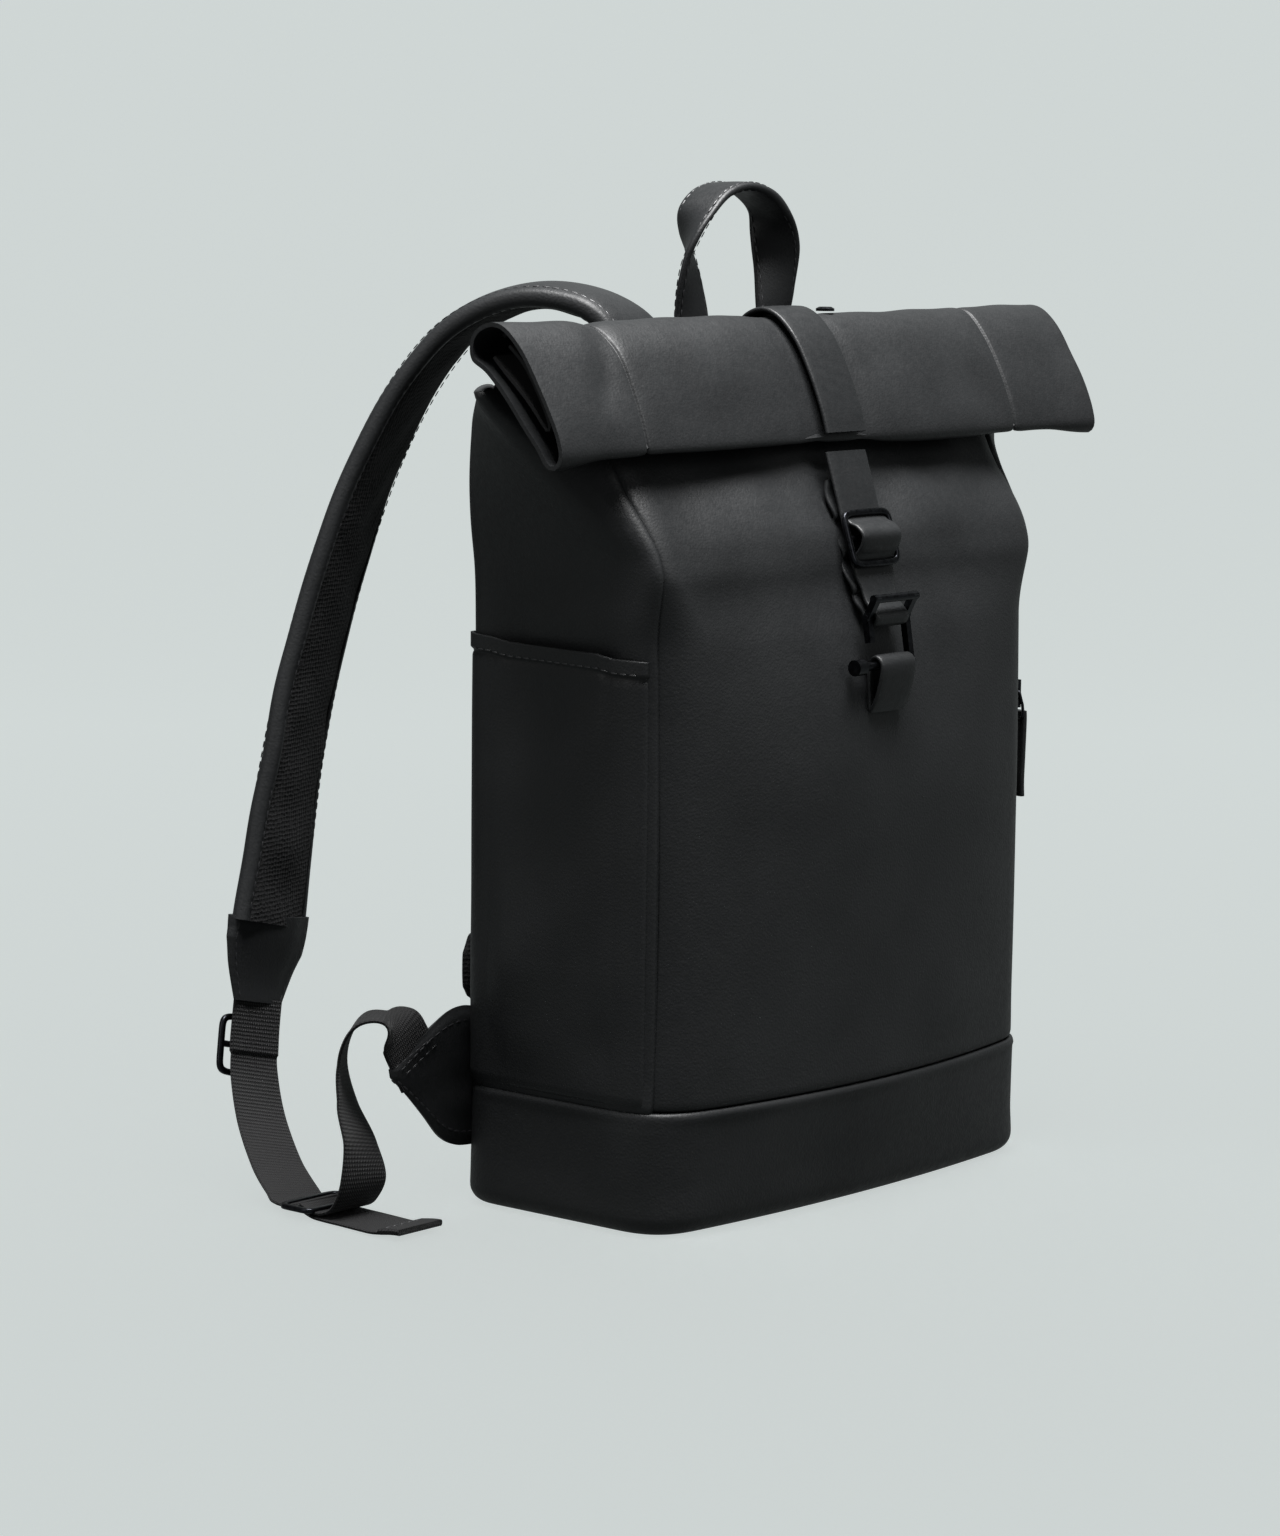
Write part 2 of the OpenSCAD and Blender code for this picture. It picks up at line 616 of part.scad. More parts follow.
base_cover();
base_board();
front_panel();
left_side_panel();
right_side_panel();
back_panel();
lining();
laptop_sleeve();
inner_pocket();
left_side_pocket();
zip_tape();
zip_slider();
zip_pull();
yoke();
left_back_pad();
right_back_pad();
lumbar_pad();
luggage_strap();
left_wing();
right_wing();
roll_outer();
roll_inner();
mouth_stiffener();
closure_anchor();
closure_strap_top();
closure_strap();
closure_slider();
slider_loop();
closure_hook();
keeper_tab();
roll_rivet();
handle();
left_strap_leather();
left_strap_padding();
left_strap_tip();
left_adjuster();
left_webbing_upper();
left_triglide();
left_webbing_lower();
left_webbing_tail();
right_strap_leather();
right_strap_padding();
right_strap_tip();
right_adjuster();
right_webbing_upper();
right_triglide();
right_webbing_lower();
right_webbing_tail();
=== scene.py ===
# %% [markdown]
# # A roll-top leather backpack, rebuilt round its measured frame
# The bag is a soft leather box on a stiff base. Its top is a flattened tube that is folded forwards
# and held down by a strap with a hook. Every surface here is worked out as a function of two
# parameters, and each piece is hung on the rigid body of the frame that it moves with.

# %% Load the frame
import json
import math

import bpy
import numpy as np
from mathutils import Matrix

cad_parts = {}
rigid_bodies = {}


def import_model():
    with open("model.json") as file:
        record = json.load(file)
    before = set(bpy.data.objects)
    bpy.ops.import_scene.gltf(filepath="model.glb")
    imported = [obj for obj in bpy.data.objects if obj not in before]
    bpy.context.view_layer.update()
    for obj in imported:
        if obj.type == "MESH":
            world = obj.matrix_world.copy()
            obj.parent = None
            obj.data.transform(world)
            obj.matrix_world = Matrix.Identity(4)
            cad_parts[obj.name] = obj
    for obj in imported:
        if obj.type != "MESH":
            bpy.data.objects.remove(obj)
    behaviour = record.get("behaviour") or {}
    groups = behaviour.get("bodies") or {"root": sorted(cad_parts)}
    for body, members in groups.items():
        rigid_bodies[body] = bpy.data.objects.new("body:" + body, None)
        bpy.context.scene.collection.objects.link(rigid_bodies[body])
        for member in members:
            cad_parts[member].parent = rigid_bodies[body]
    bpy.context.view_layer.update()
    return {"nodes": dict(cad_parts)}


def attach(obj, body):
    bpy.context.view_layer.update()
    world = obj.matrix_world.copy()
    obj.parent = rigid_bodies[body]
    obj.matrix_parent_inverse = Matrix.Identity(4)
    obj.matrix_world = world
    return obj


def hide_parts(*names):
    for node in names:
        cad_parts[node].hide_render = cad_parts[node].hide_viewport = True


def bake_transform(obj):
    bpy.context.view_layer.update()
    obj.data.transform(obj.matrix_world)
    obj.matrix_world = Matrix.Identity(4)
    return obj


for thing in list(bpy.data.objects):
    bpy.data.objects.remove(thing)
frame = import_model()

# %% [markdown]
# ## Camera
# A long lens from the front left, a little above the middle of the bag. A long lens keeps the
# verticals nearly upright, which is how bags are usually shown.

# %% Camera
SENSOR = 36.0                    # mm, the taller side of the frame
LENS = 107.203125                # mm, a portrait lens
eye = np.array([-1.707, -1.381, 0.493])
yaw, pitch, roll = np.radians([49.58, 7.63, 0.66])
ahead = np.array([math.sin(yaw) * math.cos(pitch), math.cos(yaw) * math.cos(pitch), -math.sin(pitch)])
level = np.array([math.cos(yaw), -math.sin(yaw), 0.0])
above = np.cross(level, ahead)
right = level * math.cos(roll) + above * math.sin(roll)
up = -level * math.sin(roll) + above * math.cos(roll)
camera_data = bpy.data.cameras.new("camera")
camera_data.sensor_width = SENSOR
camera_data.lens = LENS
camera = bpy.data.objects.new("camera", camera_data)
bpy.context.scene.collection.objects.link(camera)
matrix = np.eye(4)
matrix[:3, 0], matrix[:3, 1], matrix[:3, 2], matrix[:3, 3] = right, up, -ahead, eye
camera.matrix_world = Matrix(matrix.tolist())
bpy.context.scene.camera = camera
bpy.context.scene.view_settings.view_transform = "Standard"
print("lens", round(camera_data.lens, 1), "mm")

# %% [markdown]
# ## Meshes from arrays
# A piece is a grid of points. Rows and columns may wrap round, as on a tube, and the two ends of a
# tube may be closed with a face. The grid's own lengths become its UV map, in metres, so a weave
# keeps its real size however the strap bends.

# %% From a grid to a mesh
MM = 0.001


def grid_corners(rows, cols, wrap_rows, wrap_cols):
    """Row and column numbers of every quad's four corners; a wrapped edge counts on past the end."""
    r, c = np.meshgrid(np.arange(rows - (not wrap_rows)), np.arange(cols - (not wrap_cols)), indexing="ij")
    rows, cols = [r, r, r + 1, r + 1], [c, c + 1, c + 1, c]
    return np.stack(rows, -1).reshape(-1, 4), np.stack(cols, -1).reshape(-1, 4)


def lengths(points, axis, wrap):
    """Distance run along one way of the grid, averaged over the other way, in metres."""
    if wrap:
        points = np.concatenate([points, points.take([0], axis)], axis)
    step = np.linalg.norm(np.diff(points, axis=axis), axis=-1).mean(axis=1 - axis)
    return np.concatenate([[0.0], np.cumsum(step)]) * MM


def fill_mesh(name, vertices, corner_numbers, sizes, uvs):
    """A mesh from whole arrays: points, every face's corners end to end, corners per face, and the map."""
    mesh = bpy.data.meshes.new(name)
    mesh.vertices.add(len(vertices))
    mesh.vertices.foreach_set("co", vertices.ravel())
    mesh.loops.add(len(corner_numbers))
    mesh.loops.foreach_set("vertex_index", corner_numbers.astype(np.int32))
    mesh.polygons.add(len(sizes))
    mesh.polygons.foreach_set("loop_start", np.concatenate([[0], np.cumsum(sizes)[:-1]]).astype(np.int32))
    mesh.uv_layers.new(name="laid_flat").data.foreach_set("uv", uvs.ravel())
    mesh.update(calc_edges=True)
    mesh.shade_smooth()
    mesh.set_sharp_from_angle(angle=math.radians(50))
    return mesh


def mesh_from(name, grids):
    """One mesh from several grids, each (points, wrap_rows, wrap_cols, capped): points are in millimetres.
    Faces are turned to point away from the grid's middle."""
    vertices, numbers, uvs, sizes = [], [], [], []
    start = 0
    for points, wrap_rows, wrap_cols, capped in grids:
        rows, cols = points.shape[:2]
        r, c = grid_corners(rows, cols, wrap_rows, wrap_cols)
        faces = (r % rows) * cols + c % cols
        along, across = lengths(points, 0, wrap_rows), lengths(points, 1, wrap_cols)
        uv = np.stack([across[c], along[r]], -1)
        flat_points = points.reshape(-1, 3)
        a, b, d = flat_points[faces[:, 0]], flat_points[faces[:, 1]], flat_points[faces[:, 3]]
        inwards = ((a - flat_points.mean(0)) * np.cross(b - a, d - a)).sum() < 0
        if inwards:
            faces, uv = faces[:, ::-1], uv[:, ::-1]
        vertices.append(flat_points * MM)
        numbers.append((faces + start).ravel())
        uvs.append(uv.reshape(-1, 2))
        sizes.append(np.full(len(faces), 4))
        if capped:
            ring = np.arange(cols)
            for last in (False, True):
                order = ring[::-1] if inwards == last else ring
                numbers.append(order + last * (rows - 1) * cols + start)
                uvs.append(np.stack([across[order], np.full(cols, along[-1] * last)], -1))
                sizes.append(np.array([cols]))
        start += rows * cols
    return fill_mesh(name, np.concatenate(vertices), np.concatenate(numbers), np.concatenate(sizes),
                     np.concatenate(uvs))


def piece(name, grids, body, material, stands_for=(), thick=0.0, bends=None):
    """Adds a piece to the scene: its mesh, its material, the body it rides on and the frame nodes it
    replaces. thick, in millimetres, gives an open sheet its thickness, inwards. bends, if given, leaves
    the piece where it stands, on no body, and its other body, start and end are not used."""
    thing = bpy.data.objects.new(name, mesh_from(name, grids))
    bpy.context.scene.collection.objects.link(thing)
    thing.data.materials.append(material)
    if thick:
        wall = thing.modifiers.new("thickness", "SOLIDIFY")
        wall.thickness, wall.offset, wall.use_even_offset = thick * MM, -1.0, True
    if bends:
        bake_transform(thing)
    else:
        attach(thing, body)
    if stands_for:
        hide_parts(*stands_for)
    print(f"{name}: {len(thing.data.polygons)} faces, rides on {body}")
    return thing


# %% [markdown]
# ## Curves and softness
# Leather has no straight lines, so each profile is a smooth line through a few chosen points, and
# each panel gets a slow wandering offset of a millimetre or less.

# %% Smooth lines and slow waves
def curve(z, table):
    """Smooth line through (z, value) pairs: cubic pieces whose slope at a point is the harmonic mean
    of the slopes either side, and flat where they differ in sign, so that it never overshoots."""
    x, y = np.array(table, float).T
    h = np.diff(x)
    d = np.diff(y) / h
    m = np.concatenate([[d[0]], np.zeros(len(d) - 1), [d[-1]]])
    same = d[:-1] * d[1:] > 0
    m[1:-1][same] = 2 * d[:-1][same] * d[1:][same] / (d[:-1] + d[1:])[same]
    i = np.clip(np.searchsorted(x, z, side="right") - 1, 0, len(h) - 1)
    t = np.clip((z - x[i]) / h[i], 0, 1)
    return ((2 * t**3 - 3 * t**2 + 1) * y[i] + (t**3 - 2 * t**2 + t) * h[i] * m[i]
            + (3 * t**2 - 2 * t**3) * y[i + 1] + (t**3 - t**2) * h[i] * m[i + 1])


def smooth_line(points, per, closed=False):
    """Line through points, per steps to each stretch: Catmull-Rom, where each stretch is a cubic set by
    its four nearest points."""
    p = np.array(points, float)
    n = len(p)
    if closed:
        i = np.arange(n)
        a, b, c, d = p[i - 1], p[i], p[(i + 1) % n], p[(i + 2) % n]
    else:
        i = np.arange(n - 1)
        a, b, c, d = p[np.maximum(i - 1, 0)], p[i], p[i + 1], p[np.minimum(i + 2, n - 1)]
    t = (np.arange(per) / per)[None, :, None]
    a, b, c, d = (v[:, None, :] for v in (a, b, c, d))
    line = 0.5 * (2 * b + (c - a) * t + (2 * a - 5 * b + 4 * c - d) * t**2 + (3 * b - 3 * c + d - a) * t**3)
    line = line.reshape(-1, p.shape[1])
    return line if closed else np.concatenate([line, p[-1:]])


def even(line, count):
    """The same line with count points at equal distances along it."""
    run = np.concatenate([[0.0], np.cumsum(np.linalg.norm(np.diff(line, axis=0), axis=-1))])
    at = np.linspace(0, run[-1], count)
    return np.stack([np.interp(at, run, line[:, k]) for k in range(line.shape[1])], -1)


def unit(v):
    return v / np.maximum(np.linalg.norm(v, axis=-1, keepdims=True), 1e-9)


def rise(x, a, b):
    """0 below a, 1 above b, and a smooth S between them."""
    t = np.clip((x - a) / (b - a), 0, 1)
    return t * t * (3 - 2 * t)


def wander(points, size, seed, waves=14):
    """Slow wandering value about 0: the sum of sine waves in seeded directions, about size mm long."""
    draw = np.random.default_rng(seed)
    ways = unit(draw.normal(size=(waves, 3))) * 2 * np.pi / (size * draw.uniform(0.7, 1.6, (waves, 1)))
    return np.sin(points @ ways.T + draw.uniform(0, 2 * np.pi, waves)).sum(-1) / math.sqrt(waves / 2)


def outward(points, centre=None):
    """Unit normals of a grid, turned away from centre (or from the grid's own middle)."""
    n = unit(np.cross(np.gradient(points, axis=0), np.gradient(points, axis=1)))
    away = points - (points.reshape(-1, 3).mean(0) if centre is None else np.array(centre))
    return n * np.sign((n * away).sum(-1).mean() or 1.0)


print("pulled in at the seams:", rise(np.array([0.0, 2.0, 4.0]), 0, 4))

# %% [markdown]
# ## Materials
# The bag is black smooth cowhide with a matt polyurethane finish, black polyester webbing, a black
# spacer mesh against the back, and zinc fittings with a black plated finish. A colour is given as
# it would be picked on a screen and turned to linear by one function.

# %% Building materials from nodes
def colour(code):
    """Linear colour of an sRGB hex code."""
    c = np.array([int(code[i:i + 2], 16) for i in (0, 2, 4)]) / 255
    return (*np.where(c <= 0.04045, c / 12.92, ((c + 0.055) / 1.055) ** 2.4).tolist(), 1.0)


def add(tree, kind, settings=None, links=None):
    """Adds a node; a setting is an input's value if the node has that input, else a property. Links feed
    inputs."""
    node = tree.nodes.new(kind)
    for key, value in (settings or {}).items():
        if isinstance(key, int) or key in node.inputs:
            node.inputs[key].default_value = value
        else:
            setattr(node, key, value)
    for key, source in (links or {}).items():
        tree.links.new(source, node.inputs[key])
    return node


def blank(name, shade, roughness, **settings):
    """A new material with its shader's constant values set; returns the material, its tree and its shader."""
    material = bpy.data.materials.new(name)
    material.use_nodes = True
    shader = material.node_tree.nodes["Principled BSDF"]
    shader.inputs["Base Color"].default_value = colour(shade)
    shader.inputs["Roughness"].default_value = roughness
    for key, value in settings.items():
        shader.inputs[key.replace("_", " ")].default_value = value
    return material, material.node_tree, shader


def two_tones(tree, shader, source, dark, light, low=0.3, high=0.7):
    """Colour between two close shades as source goes from low to high."""
    ramp = add(tree, "ShaderNodeValToRGB", links={"Fac": source})
    ramp.color_ramp.elements[0].position, ramp.color_ramp.elements[0].color = low, colour(dark)
    ramp.color_ramp.elements[1].position, ramp.color_ramp.elements[1].color = high, colour(light)
    tree.links.new(ramp.outputs["Color"], shader.inputs["Base Color"])


def between(tree, source, low, high):
    """A value from low to high as source goes from 0.3 to 0.7."""
    return add(tree, "ShaderNodeMapRange", {"From Min": 0.3, "From Max": 0.7, "To Min": low, "To Max": high},
               {"Value": source}).outputs["Result"]


def relief(tree, shader, source, depth, strength=1.0):
    """Small relief of depth metres from source."""
    bump = add(tree, "ShaderNodeBump", {"Strength": strength, "Distance": depth}, {"Height": source})
    tree.links.new(bump.outputs["Normal"], shader.inputs["Normal"])


def waves_per(length):
    """Scale of a wave texture whose bands repeat every length metres: its sine turns 20 radians a unit."""
    return 2 * math.pi / 20 / length


# %% [markdown]
# Smooth cowhide is split, dyed through and rolled with a matt top coat. The coat leaves a fine
# pebble of about a millimetre, a broad soft gloss, and slow changes of tone where it was stretched.

# %% Leather
GRAIN = 0.0011                   # metres across one pebble of the grain


def leather(name, dark, light, rough, grain_depth):
    """Top-coated cowhide: pebbles from a smooth Voronoi pattern, tone and gloss from slow noise."""
    material, tree, shader = blank(name, dark, rough, IOR=1.33)
    place = add(tree, "ShaderNodeTexCoord").outputs["Object"]
    pebble = add(tree, "ShaderNodeTexVoronoi", {"feature": "SMOOTH_F1", "Scale": 1 / GRAIN},
                 {"Vector": place})
    pores = add(tree, "ShaderNodeTexNoise", {"Scale": 0.35 / GRAIN, "Detail": 3.0}, {"Vector": place})
    slow = add(tree, "ShaderNodeTexNoise", {"Scale": 1 / 0.045, "Detail": 2.0}, {"Vector": place})
    two_tones(tree, shader, slow.outputs["Fac"], dark, light)
    height = add(tree, "ShaderNodeMath", {"operation": "MULTIPLY_ADD", 1: 0.6},
                 {0: pores.outputs["Fac"], 2: pebble.outputs["Distance"]})
    tree.links.new(between(tree, pores.outputs["Fac"], rough - 0.05, rough + 0.06),
                   shader.inputs["Roughness"])
    relief(tree, shader, height.outputs["Value"], grain_depth, 0.5)
    return material


hide = leather("matt_coated_cowhide", "151617", "1b1c1d", 0.50, 0.00022)
strap_hide = leather("edge_painted_strap_leather", "141516", "191a1b", 0.46, 0.00016)

# %% [markdown]
# Webbing is woven flat from polyester yarn: ribs across it, and a finer beat along it. The real
# yarns are half a millimetre, too fine to show, so they are drawn at about twice that.

# %% Webbing, mesh, lining and thread
def woven(name, dark, light, rib, end, depth, rough):
    """Plain weave on the piece's own map: bands across times bands along, as height, and as tone
    that is darker where the weave sinks: painted shade between the yarns.
    """
    material, tree, shader = blank(name, dark, rough, IOR=1.3, Sheen_Weight=0.05, Sheen_Roughness=0.5)
    place = add(tree, "ShaderNodeTexCoord").outputs["UV"]
    over = add(tree, "ShaderNodeTexWave", {"bands_direction": "Y", "Scale": waves_per(rib)},
               {"Vector": place})
    under = add(tree, "ShaderNodeTexWave", {"bands_direction": "X", "Scale": waves_per(end)},
                {"Vector": place})
    cross = add(tree, "ShaderNodeMath", {"operation": "MULTIPLY"},
                {0: over.outputs["Fac"], 1: under.outputs["Fac"]})
    # darker where the weave sinks: painted shade between the yarns
    two_tones(tree, shader, cross.outputs["Value"], dark, light, 0.1, 0.8)
    relief(tree, shader, cross.outputs["Value"], depth)
    return material


webbing_cloth = woven("woven_polyester_webbing", "060607", "111112", 0.0019, 0.0012, 0.0004, 0.72)
lining_cloth = woven("plain_woven_polyester_lining", "101011", "161617", 0.0011, 0.0011, 0.0001, 0.8)

mesh_cloth, tree, shader = blank("warp_knitted_spacer_mesh", "0a0a0b", 0.85, IOR=1.3)
place = add(tree, "ShaderNodeTexCoord").outputs["Object"]
holes = add(tree, "ShaderNodeTexVoronoi", {"Scale": 1 / 0.0021, "Randomness": 0.3}, {"Vector": place})
# darker in the holes than on the knit round them: painted shade in the holes
two_tones(tree, shader, holes.outputs["Distance"], "050506", "0f0f10", 0.15, 0.5)
relief(tree, shader, holes.outputs["Distance"], 0.0007)

thread, tree, shader = blank("bonded_polyester_thread", "1c1c1e", 0.42)
place = add(tree, "ShaderNodeTexCoord").outputs["Object"]
plies = add(tree, "ShaderNodeTexNoise", {"Scale": 1 / 0.0008}, {"Vector": place})
tree.links.new(between(tree, plies.outputs["Fac"], 0.36, 0.5), shader.inputs["Roughness"])

# %% [markdown]
# The fittings are die-cast zinc, tumbled smooth and plated black. Plating gives a dark metal
# colour with a soft sharp-edged gloss and faint tumbling marks.

# %% Fittings and boards
plated, tree, shader = blank("black_plated_zinc", "26272a", 0.3, Metallic=1.0)
place = add(tree, "ShaderNodeTexCoord").outputs["Object"]
tumbled = add(tree, "ShaderNodeTexNoise", {"Scale": 1 / 0.0025, "Detail": 4.0}, {"Vector": place})
tree.links.new(between(tree, tumbled.outputs["Fac"], 0.25, 0.38), shader.inputs["Roughness"])
two_tones(tree, shader, tumbled.outputs["Fac"], "232427", "2c2d30")
relief(tree, shader, tumbled.outputs["Fac"], 0.00005)

board, tree, shader = blank("extruded_polyethylene_board", "1a1a1a", 0.6)
place = add(tree, "ShaderNodeTexCoord").outputs["Object"]
drawn = add(tree, "ShaderNodeTexNoise", {"Scale": 1 / 0.003}, {"Vector": place})
relief(tree, shader, drawn.outputs["Fac"], 0.0001)
print("materials:", len(bpy.data.materials))

# %% [markdown]
# ## The bag's outline
# Seen from above the bag is a rounded box. Higher up, the middle of each side folds outwards into a
# wedge, and the front and back lean together until they meet under the roll. So the outline is
# three corners on each half, each a smooth line of the height, with soft curves at the corners.

# %% Outline at any height
BAG_W, BAND_H, PANEL_IN = 290.0, 58.0, 2.0
FRONT_Y = [[0, -64.5], [58, -62.5], [200, -62.8], [300, -62.5], [315, -59], [350, -36], [388, -11], [398, -4]]
BACK_Y = [[0, 64.5], [58, 62.5], [310, 62.5], [345, 56], [370, 44], [388, 22], [398, 5]]
FOLD_Y = [[0, 0], [270, 0], [310, -38], [330, -28], [350, -16], [388, -2], [398, 1]]
FOLD_OUT = [[0, 0], [290, 0], [310, 3], [325, 12], [350, 29], [370, 45], [388, 60], [398, 61]]
BACK_OUT = [[0, 0], [300, 0], [345, 8], [370, 16], [388, 26], [398, 30]]
FRONT_CUT = [[0, 34], [300, 32], [325, 20], [350, 12], [388, 7], [398, 3]]
BACK_CUT = [[0, 24], [345, 24], [388, 12], [398, 4]]
FOLD_CUT = [[0, 28], [270, 28], [310, 10], [398, 7]]
BELLY = [[0, 10], [58, 19], [190, 19], [240, 15], [270, 10.5], [300, 4], [325, 6], [350, 8], [388, 2],
         [398, 0]]
FRONT_SEAM, BACK_SEAM = 0.6, 0.5          # where the corner seams lie on the corners' curves


def flat(x, y):
    return np.stack(np.broadcast_arrays(x, y), -1)


def corner_curve(a, c, b, t):
    """The curve that leaves a, heads for c and arrives at b, as t goes from 0 to 1."""
    t = t[..., None]
    return (1 - t) ** 2 * a + 2 * t * (1 - t) * c + t * t * b


def half_width(z):
    return BAG_W / 2 - PANEL_IN * (z > BAND_H)


def corners(z, inset, dent):
    """The right half's three corners at heights z: front, side fold and back."""
    half, out = half_width(z), curve(z, FOLD_OUT)
    return (flat(half - inset, curve(z, FRONT_Y) + inset),
            flat(half + out - inset * (1 + out / 20) - dent, curve(z, FOLD_Y)),
            flat(half + curve(z, BACK_OUT) - inset, curve(z, BACK_Y) - inset))


def cut(z, table, *edges):
    """How far a corner's curve is cut back: the table's value, or less where an edge beside it is short."""
    return np.minimum.reduce([curve(z, table)]
                             + [0.45 * np.linalg.norm(e, axis=-1) for e in edges])[..., None]


def bellied(p, z):
    """Pushes the middle of the front forwards, by a parabola across the width."""
    push = curve(z, BELLY) * np.maximum(0, 1 - (p[..., 0] / half_width(z)) ** 2)
    return flat(p[..., 0], p[..., 1] - push)


def front_half(u, z, inset=0.0):
    """Front from its middle (u = 0) to its seam (u = 1): straight, then part of the corner's curve."""
    c, k, _ = corners(z, inset, 0.0)
    back_off = cut(z, FRONT_CUT, c - k)
    a, b = c - back_off * [1, 0], c + unit(k - c) * back_off
    t = np.clip((u - 0.8) / 0.2, 0, 1) * FRONT_SEAM
    across = flat(a[..., 0] * np.minimum(u / 0.8, 1), a[..., 1] + 0 * u)
    return bellied(np.where((u < 0.8)[..., None], across, corner_curve(a, c, b, t)), z)


def side(v, z, inset=0.0, dent=0.0, start=FRONT_SEAM):
    """Right side from its front seam (v = 0) round the fold to its back seam (v = 1)."""
    f, k, b = corners(z, inset, dent)
    fc, bc = cut(z, FRONT_CUT, f - k), cut(z, BACK_CUT, k - b)
    kc = cut(z, FOLD_CUT, f - k, k - b)
    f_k, kb = unit(k - f), unit(b - k)
    stops = [0.0, 0.12, 0.42, 0.6, 0.88, 1.0]
    part = [np.clip((v - lo) / (hi - lo), 0, 1) for lo, hi in zip(stops, stops[1:])]
    near = bellied(corner_curve(f - fc * [1, 0], f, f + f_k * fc, start + (1 - start) * part[0]), z)
    straight = lambda p, q, t: p + (q - p) * t[..., None]
    return np.select(
        [(v < s)[..., None] for s in stops[1:-1]] + [np.ones_like(v, bool)[..., None]],
        [near, straight(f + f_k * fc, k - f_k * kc, part[1]),
         corner_curve(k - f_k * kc, k, k + kb * kc, part[2]),
         straight(k + kb * kc, b - kb * bc, part[3]),
         corner_curve(b - kb * bc, b, b - bc * [1, 0], part[4] * BACK_SEAM)])


def back_half(w, z, inset=0.0):
    """Back from its seam (w = 0) to its middle (w = 1)."""
    _, k, b = corners(z, inset, 0.0)
    bc = cut(z, BACK_CUT, k - b)
    t = BACK_SEAM + (1 - BACK_SEAM) * np.clip(w / 0.2, 0, 1)
    end = b - bc * [1, 0]
    straight = flat(end[..., 0] * (1 - np.clip((w - 0.2) / 0.8, 0, 1)), end[..., 1] + 0 * w)
    return np.where((w > 0.2)[..., None], straight, corner_curve(b - unit(b - k) * bc, b, end, t))


def grid(rows, cols):
    """Heights down the rows and a parameter across the columns, as two arrays of the same shape."""
    return np.meshgrid(rows, cols, indexing="ij")


def raised(xy, z):
    return np.concatenate([xy, z[..., None]], -1)


def mirrored(points):
    """The left-hand twin of a grid of points."""
    return points * [-1, 1, 1]


def both_ways(half, flip):
    """A half and its mirror image side by side, the middle column once; flip where the half ends in the
    middle."""
    if flip:
        return np.concatenate([half, mirrored(half[:, -2::-1])], 1)
    return np.concatenate([mirrored(half[:, :0:-1]), half], 1)


print("outline checks:", front_half(np.array([[0.0, 1.0]]), np.array([[200.0, 200.0]])).round(1).tolist())

# %% [markdown]
# ## Body panels
# Four panels are sewn edge to edge, inside out, and turned, so each seam is a valley that the
# leather rolls into. The panels stop short of the base band with the same rolled edge.

# %% Front, sides and back
TOP_Z = 388.0
LEATHER_T = 2.2


def rolled_in(points, out, across, up_from, reach=4.0, depth=1.8):
    """Pulls a panel in by a quarter circle's worth near its side seams and its bottom seam."""
    run = np.concatenate([np.zeros((len(points), 1)),
                          np.cumsum(np.linalg.norm(np.diff(points, axis=1), axis=-1), axis=1)], 1)
    near = np.minimum(run, run[:, -1:] - run) if across else np.full(run.shape, 99.0)
    near = np.minimum(near, points[..., 2] - up_from)
    dip = 1 - np.sqrt(np.clip(1 - (1 - np.clip(near / reach, 0, 1)) ** 2, 0, 1))
    return points - out * (dip * depth)[..., None]


panel_heights = np.concatenate([[58.3, 59, 60, 61.5, 63.5], np.linspace(66, TOP_Z, 130)])
seam_side = 1 - (1 - np.linspace(0, 1, 90)) ** 1.25       # closer together towards the seam

z, u = grid(panel_heights, seam_side)
front = both_ways(raised(front_half(u, z), z), False)
# the closure strap presses a shallow groove into the middle of the upper front
groove = (2.2 * np.exp(-(front[..., 0] / 30) ** 2) * rise(front[..., 2], 285, 305)
          * (1 - rise(front[..., 2], 322, 345)))
# the soft ridges that run from the kinks of the sides up towards the roll
ripple = (0.8 * wander(front * [1.0, 1.0, 0.5], 120, 3)
          + 0.5 * wander(front, 45, 4) * rise(front[..., 2], 250, 340))
out = outward(front, [0, 0, 200])
front = front + out * (ripple * rise(front[..., 2], 60, 90) - 0.4)[..., None]
front[..., 1] += groove
front = rolled_in(front, out, True, 58.3)
piece("front_leather", [(front, False, False, False)], "bag", hide, ["front_panel"], LEATHER_T)

DENT = [[58, 0], [75, 6], [250, 6], [285, 0], [398, 0]]
side_cols = np.linspace(0, 1, 110)
z, v = grid(panel_heights, side_cols)


def side_panel(dent, seed):
    """A side: the outline's side, with a slow buckle that grows towards the folded top."""
    p = raised(side(v, z, dent=dent * curve(z, DENT)), z)
    out = outward(p, [0, 0, 250])
    buckle = (0.7 * wander(p, 90, seed)
              + 1.1 * wander(p * [1, 1, 0.7], 60, seed + 1) * rise(p[..., 2], 265, 300))
    # the back edge swells a little above the pocket
    swell = 3.0 * np.exp(-((v - 0.82) / 0.16) ** 2) * rise(z, 270, 310) * (1 - rise(z, 335, 370))
    p = p + out * (buckle * rise(z, 62, 90) * np.sin(np.pi * np.clip(v, 0, 1)) ** 0.5 + swell
                   - 0.4)[..., None]
    return rolled_in(p, out, True, 58.3)


piece("right_side_leather", [(side_panel(0.0, 11), False, False, False)], "bag", hide, ["right_side_panel"],
      LEATHER_T)
piece("left_side_leather", [(mirrored(side_panel(1.0, 21)), False, False, False)], "bag", hide,
      ["left_side_panel"],
      LEATHER_T)

